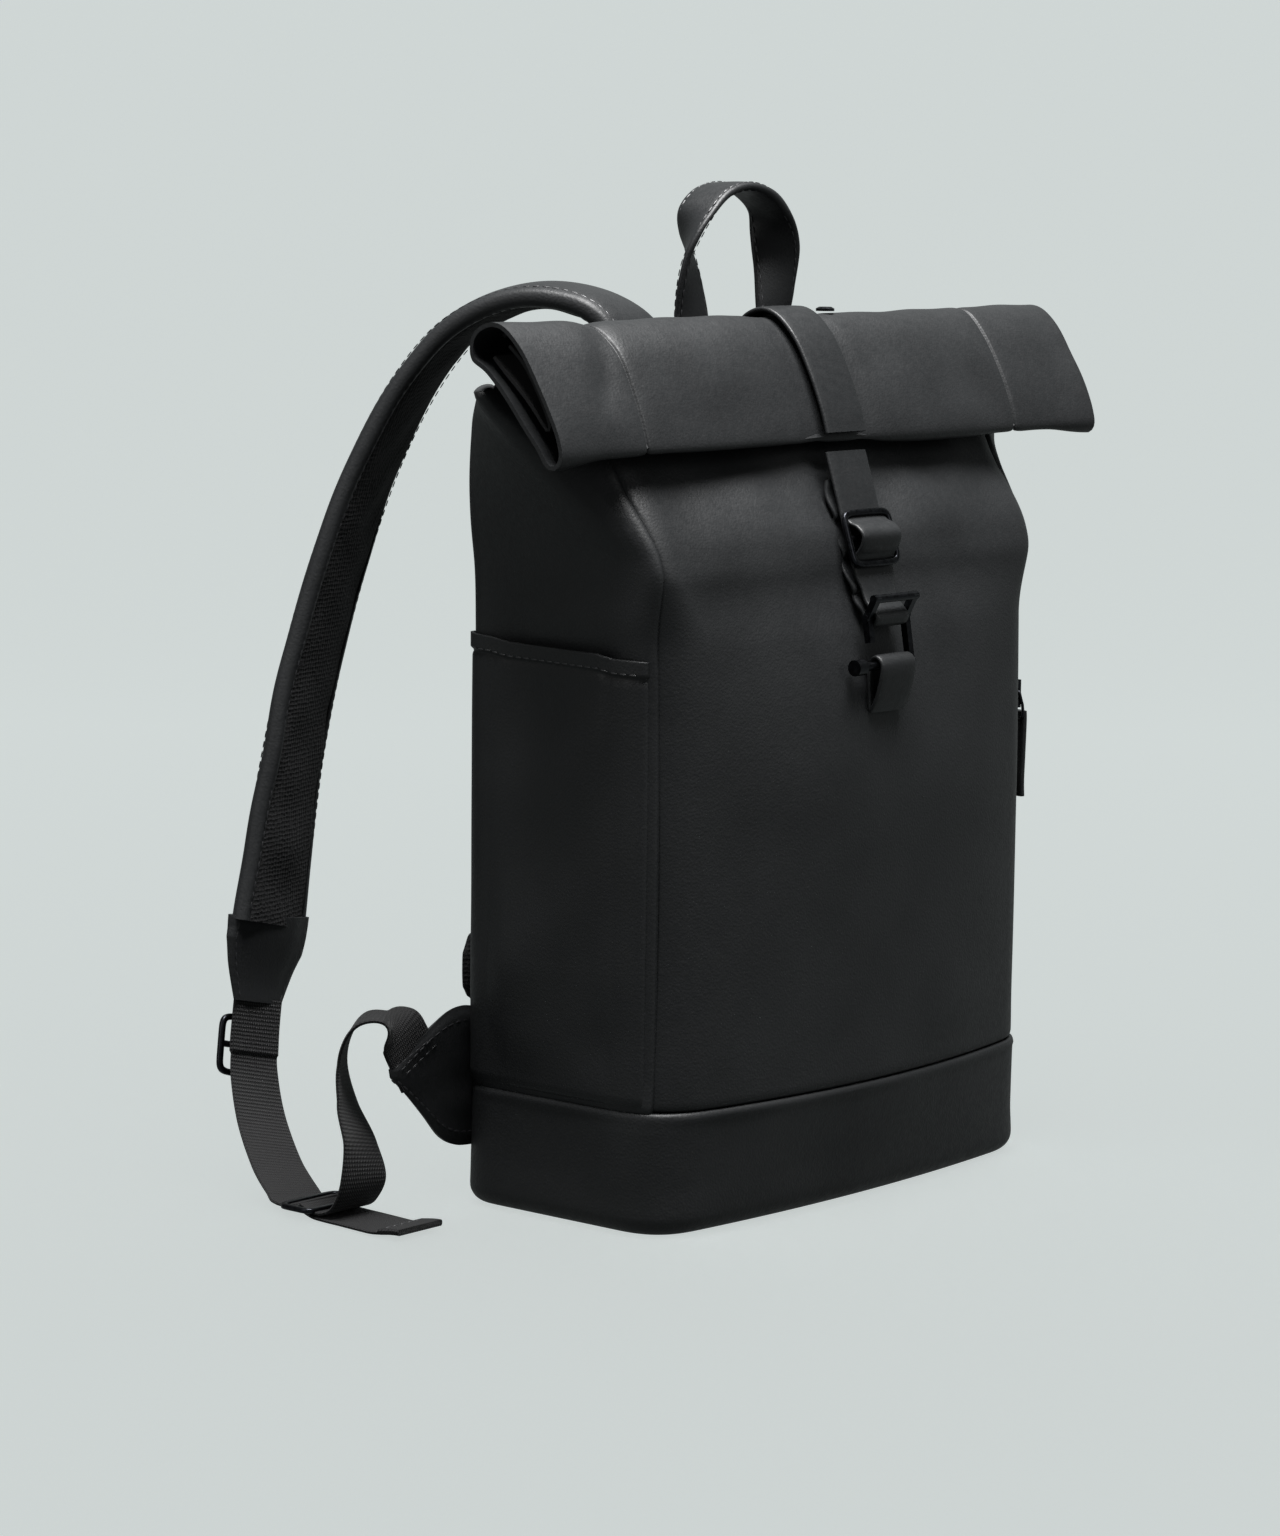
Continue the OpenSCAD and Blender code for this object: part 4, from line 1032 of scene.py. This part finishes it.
for hand in ("left", "right"):
    body, side_sign = f"{hand}_shoulder_strap", -1 if hand == "left" else 1
    on_right, on_left = hand == "right", hand == "left"
    line, way = route(flipped(LEFT_LOWER, on_right), flipped(LEFT_LOWER_WAY, on_right), 180)
    piece(f"{hand}_webbing_from_wing", [(carried(line, way, WEBBING), False, True, True)], body,
          webbing_cloth, [f"{hand}_webbing_lower"],
          bends=("bag", (side_sign * 0.185, 0.06, 0.08), (side_sign * 0.200, 0.06, 0.08)))
    tail = flipped(LEFT_TAIL, on_right)
    line, way = route(tail, [SIDEWAYS] * len(tail), 90)
    end = rise(np.linspace(0, 1, 90), 0.80, 0.815)
    thick = np.stack([1 + 0 * end, 1 + 0.75 * end], -1)[:, None]
    lift = np.stack([0 * end, 0 * end, 0.55 * end + 2.2 * rise(np.linspace(0, 1, 90), 0.7, 1.0)], -1)
    piece(f"{hand}_webbing_tail_end",
          [(carried(line + lift, way, WEBBING * thick), False, True, True)],
          body, webbing_cloth, [f"{hand}_webbing_tail"])
    top = (line + lift)[76]
    sew(f"{hand}_hem_stitches", body, (top + np.array([[-13.0, 0, 1.6], [13.0, 0, 1.6]]), [0, 0, 1.0]))
    buckle(f"{hand}_triglide_frame", (39, 22, 3.2, 2.6), body, [f"{hand}_triglide"], (0, -2.6, 0), ("x", -90),
           (side_sign * 205, 91, 3.6))

    s, across = grid(np.linspace(0, 1, 40), np.linspace(0, 1, 40))
    upper_edge, lower_edge = (even(smooth_line(edge, 10), 40) for edge in WING)
    skin = upper_edge[:, None] * (1 - across[..., None]) + lower_edge[:, None] * across[..., None]
    near_edge = np.minimum(across, 1 - across) * np.linalg.norm(upper_edge - lower_edge, axis=-1)[:, None]
    near_end = np.minimum(np.linalg.norm(skin - skin[-1:], axis=-1), near_edge)
    puff = 0.6 + 1.2 * rise(near_end, 0, 5) + 0.3 * wander(skin, 22, 91)
    faces = [flipped(skin + puff[..., None] * [0, e, 0], on_left) for e in (-1, 1)]
    piece(f"{hand}_wing_leather", [(np.concatenate([faces[0], faces[1][:, ::-1]], 1), False, True, True)],
          "bag", hide, [f"{hand}_wing"])
    edge_rows = [(skin[3:-2, k] + [0, 2.1 * f, 0], f) for k in (4, 35) for f in (-1, 1)]
    end_rows = [([[166 - d, 60 + f * 2.3, 81.6 - 0.7 * d], [187 - 1.2 * d, 60 + f * 2.3, 69.4 - 0.4 * d]], f)
                for d in (0, 4) for f in (-1, 1)]
    sew(f"{hand}_wing_stitches", "bag",
        *[(flipped(row, on_left), [0, f, 0]) for row, f in edge_rows + end_rows])

# %% [markdown]
# ## Back of the bag
# Two tall foam pads and one low wide one sit against the wearer. Each starts as a rounded slab a
# little smaller than the pad, is blown up by a short cloth simulation, and then gets its sewn
# channels. A flat strap across the back slides over a suitcase's handle.

# %% Back pads
def slab(x0, z0, half_w, half_h, deep, corner):
    """A rounded slab on the back: rings of a rounded rectangle, from the middle of its flat side out,
    over the rim and in to the middle of its crowned side."""
    a = np.linspace(0, 2 * np.pi, 96, endpoint=False)
    shape = lambda v: np.sign(v) * np.abs(v) ** corner
    k = np.array([0.02, 0.4, 0.8, 0.97, 1.0, 1.0, 0.985, 0.95, 0.88, 0.75, 0.55, 0.3, 0.02])
    depth = np.array([0, 0, 0, 0, 0.12, 0.5, 0.75, 0.88, 0.94, 0.97, 0.99, 1, 1]) * deep
    return np.stack(np.broadcast_arrays(x0 + half_w * k[:, None] * shape(np.cos(a)), 62.95 + depth[:, None],
                                        z0 + half_h * k[:, None] * shape(np.sin(a))), -1)


def blown_up(thing, cap):
    """Swells a closed piece by a short cloth simulation with air inside it. No point moves further
    than cap metres."""
    bpy.context.view_layer.objects.active = thing
    mesher = thing.modifiers.new("even_mesh", "REMESH")
    mesher.mode, mesher.voxel_size = "VOXEL", 0.0042
    bpy.ops.object.select_all(action="DESELECT")
    thing.select_set(True)
    bpy.ops.object.modifier_apply(modifier=mesher.name)
    before = np.empty(len(thing.data.vertices) * 3)
    thing.data.vertices.foreach_get("co", before)
    before = before.reshape(-1, 3)
    cloth = thing.modifiers.new("air", "CLOTH")
    cloth.settings.use_pressure = True
    cloth.settings.uniform_pressure_force = 4.0
    cloth.settings.effector_weights.gravity = 0.0
    cloth.settings.quality = 5
    held = thing.vertex_groups.new(name="sewn_to_the_back")
    held.add(np.flatnonzero(before[:, 1] < 0.0640).tolist(), 1.0, "REPLACE")
    cloth.settings.vertex_group_mass = held.name
    for number in range(1, 21):
        bpy.context.scene.frame_set(number)
    shape = thing.evaluated_get(bpy.context.evaluated_depsgraph_get()).data
    after = np.empty(len(shape.vertices) * 3)
    shape.vertices.foreach_get("co", after)
    after = after.reshape(-1, 3)
    move = after - before
    far = np.linalg.norm(move, axis=-1, keepdims=True)
    after = before + move * np.minimum(1.0, cap / np.maximum(far, 1e-9))
    thing.modifiers.remove(cloth)
    thing.vertex_groups.clear()
    thing.data.vertices.foreach_set("co", after.ravel())
    thing.data.update()
    bpy.context.scene.frame_set(1)
    print(f"{thing.name}: swelled by up to {min(far.max(), cap) * 1000:.1f} mm")


def channels(thing, lines, axis, deep, wide):
    """Presses sewn channels into a pad's crowned side: a groove at each of lines along axis."""
    points = np.empty(len(thing.data.vertices) * 3)
    thing.data.vertices.foreach_get("co", points)
    points = points.reshape(-1, 3)
    at = points[:, axis][:, None] / MM - np.array(lines)
    press = deep * np.exp(-(at / wide) ** 2).max(1) * rise(points[:, 1] / MM, 64.5, 68)
    points[:, 1] -= press * MM
    thing.data.vertices.foreach_set("co", points.ravel())
    thing.data.update()
    finer = thing.modifiers.new("finer", "SUBSURF")
    finer.levels = finer.render_levels = 1


for name, node, slab_shape, lines, axis in (
        ("left_pad_mesh", "left_back_pad", (-62, 235, 43, 76.5, 8.2, 0.5), (196, 235, 274), 2),
        ("right_pad_mesh", "right_back_pad", (62, 235, 43, 76.5, 8.2, 0.5), (196, 235, 274), 2),
        ("lumbar_pad_mesh", "lumbar_pad", (0, 110, 135, 25.5, 9.6, 0.45), (-68, 0, 68), 0)):
    pad = piece(name, [(slab(*slab_shape), False, True, True)], "bag", mesh_cloth, [node])
    blown_up(pad, 0.0045)
    channels(pad, lines, axis, 4.0, 4.5)
    pad.data.shade_smooth()

# %% Luggage strap and yoke
LUGGAGE = [[-130, 63.4, 171], [-124, 64.1, 171], [-117, 71, 171], [-108, 82.2, 171], [-90, 83.2, 171],
           [0, 83.4, 171],
           [90, 83.2, 171], [108, 82.2, 171], [117, 71, 171], [124, 64.1, 171], [130, 63.4, 171]]
line, way = route(LUGGAGE, [[0, 0, 1.0]] * len(LUGGAGE), 160)
piece("luggage_webbing", [(carried(line, way, flat_strap(46, 1.9)), False, True, True)], "bag", webbing_cloth,
      ["luggage_strap"])
sew("luggage_stitches", "bag", *[(np.array([[x, 65.2, 151.0], [x, 65.2, 191.0]]), [0, 1.0, 0])
                                 for x in (-128, -124, 124, 128)])
z, x = grid(np.linspace(362, 386.5, 24), np.linspace(-82, 82, 80))
rim = np.minimum(rise(82 - np.abs(x), 0, 4), np.minimum(rise(z, 361.9, 365), 1 - rise(z, 384, 386.6)))
yoke = np.stack([x, curve(z, BACK_Y) + 0.5 + 1.5 * rim, z + 0.5 + 1.2 * rim], -1)
yoke_under = np.stack([x, curve(z, BACK_Y) + 0.3, z + 0.3], -1)
piece("yoke_leather", [(np.concatenate([yoke, yoke_under[:, ::-1]], 1), False, True, True)], "bag", hide,
      ["yoke"])
row = yoke[4] + [0, 0.2, 0.1]
sew("yoke_stitches", "bag", (row[2:-2], [0, 0.85, 0.5]))

# %% [markdown]
# ## Side zip
# A zip runs up the front right edge, into the pocket behind the side. The slider is a plated casting,
# and its pull is a loop of metal with a leather tab.

# %% Zip


def at_zip(points, z=0.0):
    """Points of the zip's own frame, whose -Y points out of the bag, put in place at height z."""
    return placed(np.asarray(points, float), ("z", 70), (145, -44, z))


z, x = grid(np.linspace(70.5, 235.5, 420),
            np.concatenate([np.linspace(-9, -2.2, 6), np.linspace(-1.8, 1.8, 9),
                                                           np.linspace(2.2, 9, 6)]))
teeth = 1.1 * (1 - rise(np.abs(x), 1.2, 2.1)) * (0.75 + 0.25 * np.sin(2 * np.pi * z / 1.9 + np.pi * (x > 0)))
front_face = np.stack([x, -0.45 - teeth, z], -1)
rear_face = np.stack([x, 0.45 + 0 * x, z], -1)
piece("zip_tape_and_teeth",
      [(at_zip(np.concatenate([front_face, rear_face[:, ::-1]], 1)), False, True, True)], "bag",
      webbing_cloth, ["zip_tape"])
bail = placed(frame_grids(11.5, 15, 1.3, 1.4, False)[0][0], (0, -7.0, -5.5))
bail[..., 1] += 2.1 * rise(bail[..., 2], -8, 1)
piece("zip_pull_loop", [(at_zip(bail, 228), True, True, False)], "zip_tab", plated)
tab_path = at_zip([[0, -8.2, -9], [0, -8.4, -14], [0, -8.0, -30], [0, -7.6, -44], [0, -7.9, -52]], 228)
line, way = route(tab_path, [[math.cos(math.radians(70)), math.sin(math.radians(70)), 0]] * len(tab_path), 60)
piece("zip_pull_leather", [(carried(line, way, flat_strap(11.5, 2.6, 0.3)), False, True, True)], "zip_tab",
      strap_hide, ["zip_pull"])

# %% [markdown]
# ## Inside
# The lining follows the walls a few millimetres in. Against the back there is a sleeve for a
# laptop, and on the front a small open pocket.

# %% Lining, sleeve and inner pocket
line_z = np.concatenate([np.linspace(15, 56, 12), np.linspace(68, 386, 70)])
line_in = 4.6 + 3.6 * rise(line_z, 58, 70) * (1 - rise(line_z, 262, 290)) + 1.2 * rise(line_z, 286, 300)
walls = round_the_bag(line_z, line_in)
walls = walls + (0.5 * wander(walls, 50, 95))[..., None] * [1, 1, 0]
inside_walls = round_the_bag(line_z[::-1], line_in[::-1] + 0.9)
inside_walls = inside_walls + (0.5 * wander(inside_walls, 50, 95))[..., None] * [1, 1, 0]
cloth = piece("lining_cloth_walls", [(np.concatenate([walls, inside_walls]), False, True, True)], "bag",
              lining_cloth, ["lining"])


def open_pouch(x_half, low, high, y_back, y_front, thick, seed):
    """An open-topped pouch: a closed wall round a flat space, its mouth a little slack."""
    a = np.linspace(0, 2 * np.pi, 120, endpoint=False)
    shape = lambda v: np.sign(v) * np.abs(v) ** 0.25
    z = np.concatenate([[low + 2], np.linspace(low, high, 40)])
    k = np.concatenate([[0.9], np.ones(40)])
    deep, middle = (y_back - y_front) / 2, (y_back + y_front) / 2
    def wall(inset, up_to):
        level = np.minimum(z, up_to)
        p = np.stack(np.broadcast_arrays((x_half - inset) * k[:, None] * shape(np.cos(a)),
                                         middle + (deep - inset) * k[:, None] * shape(np.sin(a)),
                                         np.maximum(level[:, None], low + inset)), -1)
        return p + (0.6 * wander(p, 70, seed) * rise(z, low, high)[:, None])[..., None] * [0, 1, 0]
    return np.concatenate([wall(0, high), wall(thick, high)[::-1]])


piece("laptop_sleeve_foam", [(open_pouch(111.5, 13.4, 253, 46.6, 24.4, 3.0, 97), False, True, True)], "bag",
      lining_cloth, ["laptop_sleeve"])
piece("inner_pocket_cloth", [(open_pouch(79.5, 110.4, 229, -42.3, -53.7, 1.6, 99), False, True, True)], "bag",
      lining_cloth, ["inner_pocket"])

# %% [markdown]
# ## Frame parts that stay
# The hook, the rivet and the zip slider already have their true shape, so they keep it and only
# get their finish. So do the two stiffening boards, which nobody sees.

# %% Finishes of the frame's own parts
KEPT = {"closure_hook": plated, "roll_rivet": plated, "zip_slider": plated, "base_board": board,
        "mouth_stiffener": board}
for node, finish in KEPT.items():
    slots = frame["nodes"][node].material_slots
    for place in slots:
        place.material = finish
print("kept parts:", ", ".join(KEPT))

# %% [markdown]
# ## Studio
# The bag stands on pale seamless paper. The paper's evenness comes from the paper itself: it glows
# a little to the camera and takes only the faint light of the room, so the bag's contact with it
# stays soft. The lamps are told to leave the paper alone.

# %% Light and floor
def softbox(name, place, aim, size, power, tint="ffffff"):
    """A square area light at place, turned to face aim."""
    data = bpy.data.lights.new(name, "AREA")
    data.shape, data.size, data.size_y, data.energy = "RECTANGLE", size[0], size[1], power
    data.color = colour(tint)[:3]
    lamp = bpy.data.objects.new(name, data)
    back_to = unit(np.array(place, float) - np.array(aim, float))
    side_way = unit(np.cross([0.0, 0.001, 1.0], back_to))
    m = np.eye(4)
    m[:3, 0], m[:3, 1], m[:3, 2], m[:3, 3] = side_way, np.cross(back_to, side_way), back_to, place
    lamp.matrix_world = Matrix(m.tolist())
    bpy.context.scene.collection.objects.link(lamp)
    return lamp


lamps = [softbox("overhead", (-0.15, -0.30, 2.1), (0, -0.05, 0.3), (1.3, 1.0), 190),
         softbox("left_fill", (-2.2, 0.6, 1.2), (0, 0, 0.2), (1.2, 1.6), 9),
         softbox("front_fill", (0.6, -2.4, 1.4), (0, 0, 0.25), (1.4, 1.4), 9)]
world = bpy.data.worlds.new("studio")
world.use_nodes = True
world.node_tree.nodes["Background"].inputs["Color"].default_value = colour("cdd3d2")
seen = add(world.node_tree, "ShaderNodeLightPath").outputs["Is Camera Ray"]
world.node_tree.links.new(between(world.node_tree, seen, 0.17, 0.95),
                          world.node_tree.nodes["Background"].inputs["Strength"])
bpy.context.scene.world = world

paper, tree, shader = blank("seamless_background_paper", "c4c9c8", 0.9)
fibre = add(tree, "ShaderNodeTexNoise", {"Scale": 300.0},
            {"Vector": add(tree, "ShaderNodeTexCoord").outputs["Object"]})
relief(tree, shader, fibre.outputs["Fac"], 0.0001)
shader.inputs["Emission Color"].default_value = colour("cdd3d2")
seen = add(tree, "ShaderNodeLightPath").outputs["Is Camera Ray"]
tree.links.new(between(tree, seen, 0.30, 0.89), shader.inputs["Emission Strength"])

run = np.linspace(0, 1, 60)
bend = np.radians(np.clip((run - 0.45) / 0.25, 0, 1) * 90)
far = -1.4 + 3.2 * np.minimum(run, 0.45) / 0.45 + 1.0 * np.sin(bend)
high = 1.0 * (1 - np.cos(bend)) + 3.0 * np.clip((run - 0.7) / 0.3, 0, 1)
reach, width = grid(np.arange(60), np.linspace(-4, 4, 30))
ground = np.array([ahead[0], ahead[1]]) / math.hypot(ahead[0], ahead[1])
sweep = np.stack([ground[0] * far[reach] + level[0] * width, ground[1] * far[reach] + level[1] * width,
                  high[reach]], -1) / MM
floor = bpy.data.objects.new("floor", mesh_from("floor", [(sweep, False, False, False)]))
bpy.context.scene.collection.objects.link(floor)
floor.data.materials.append(paper)
left_alone = bpy.data.collections.new("left_alone_by_the_lamps")
left_alone.objects.link(floor)
left_alone.collection_objects[0].light_linking.link_state = "EXCLUDE"
for lamp in lamps:
    lamp.light_linking.receiver_collection = left_alone
print(f"{len(lamps)} lamps, paper {high[-1]:.1f} m high")
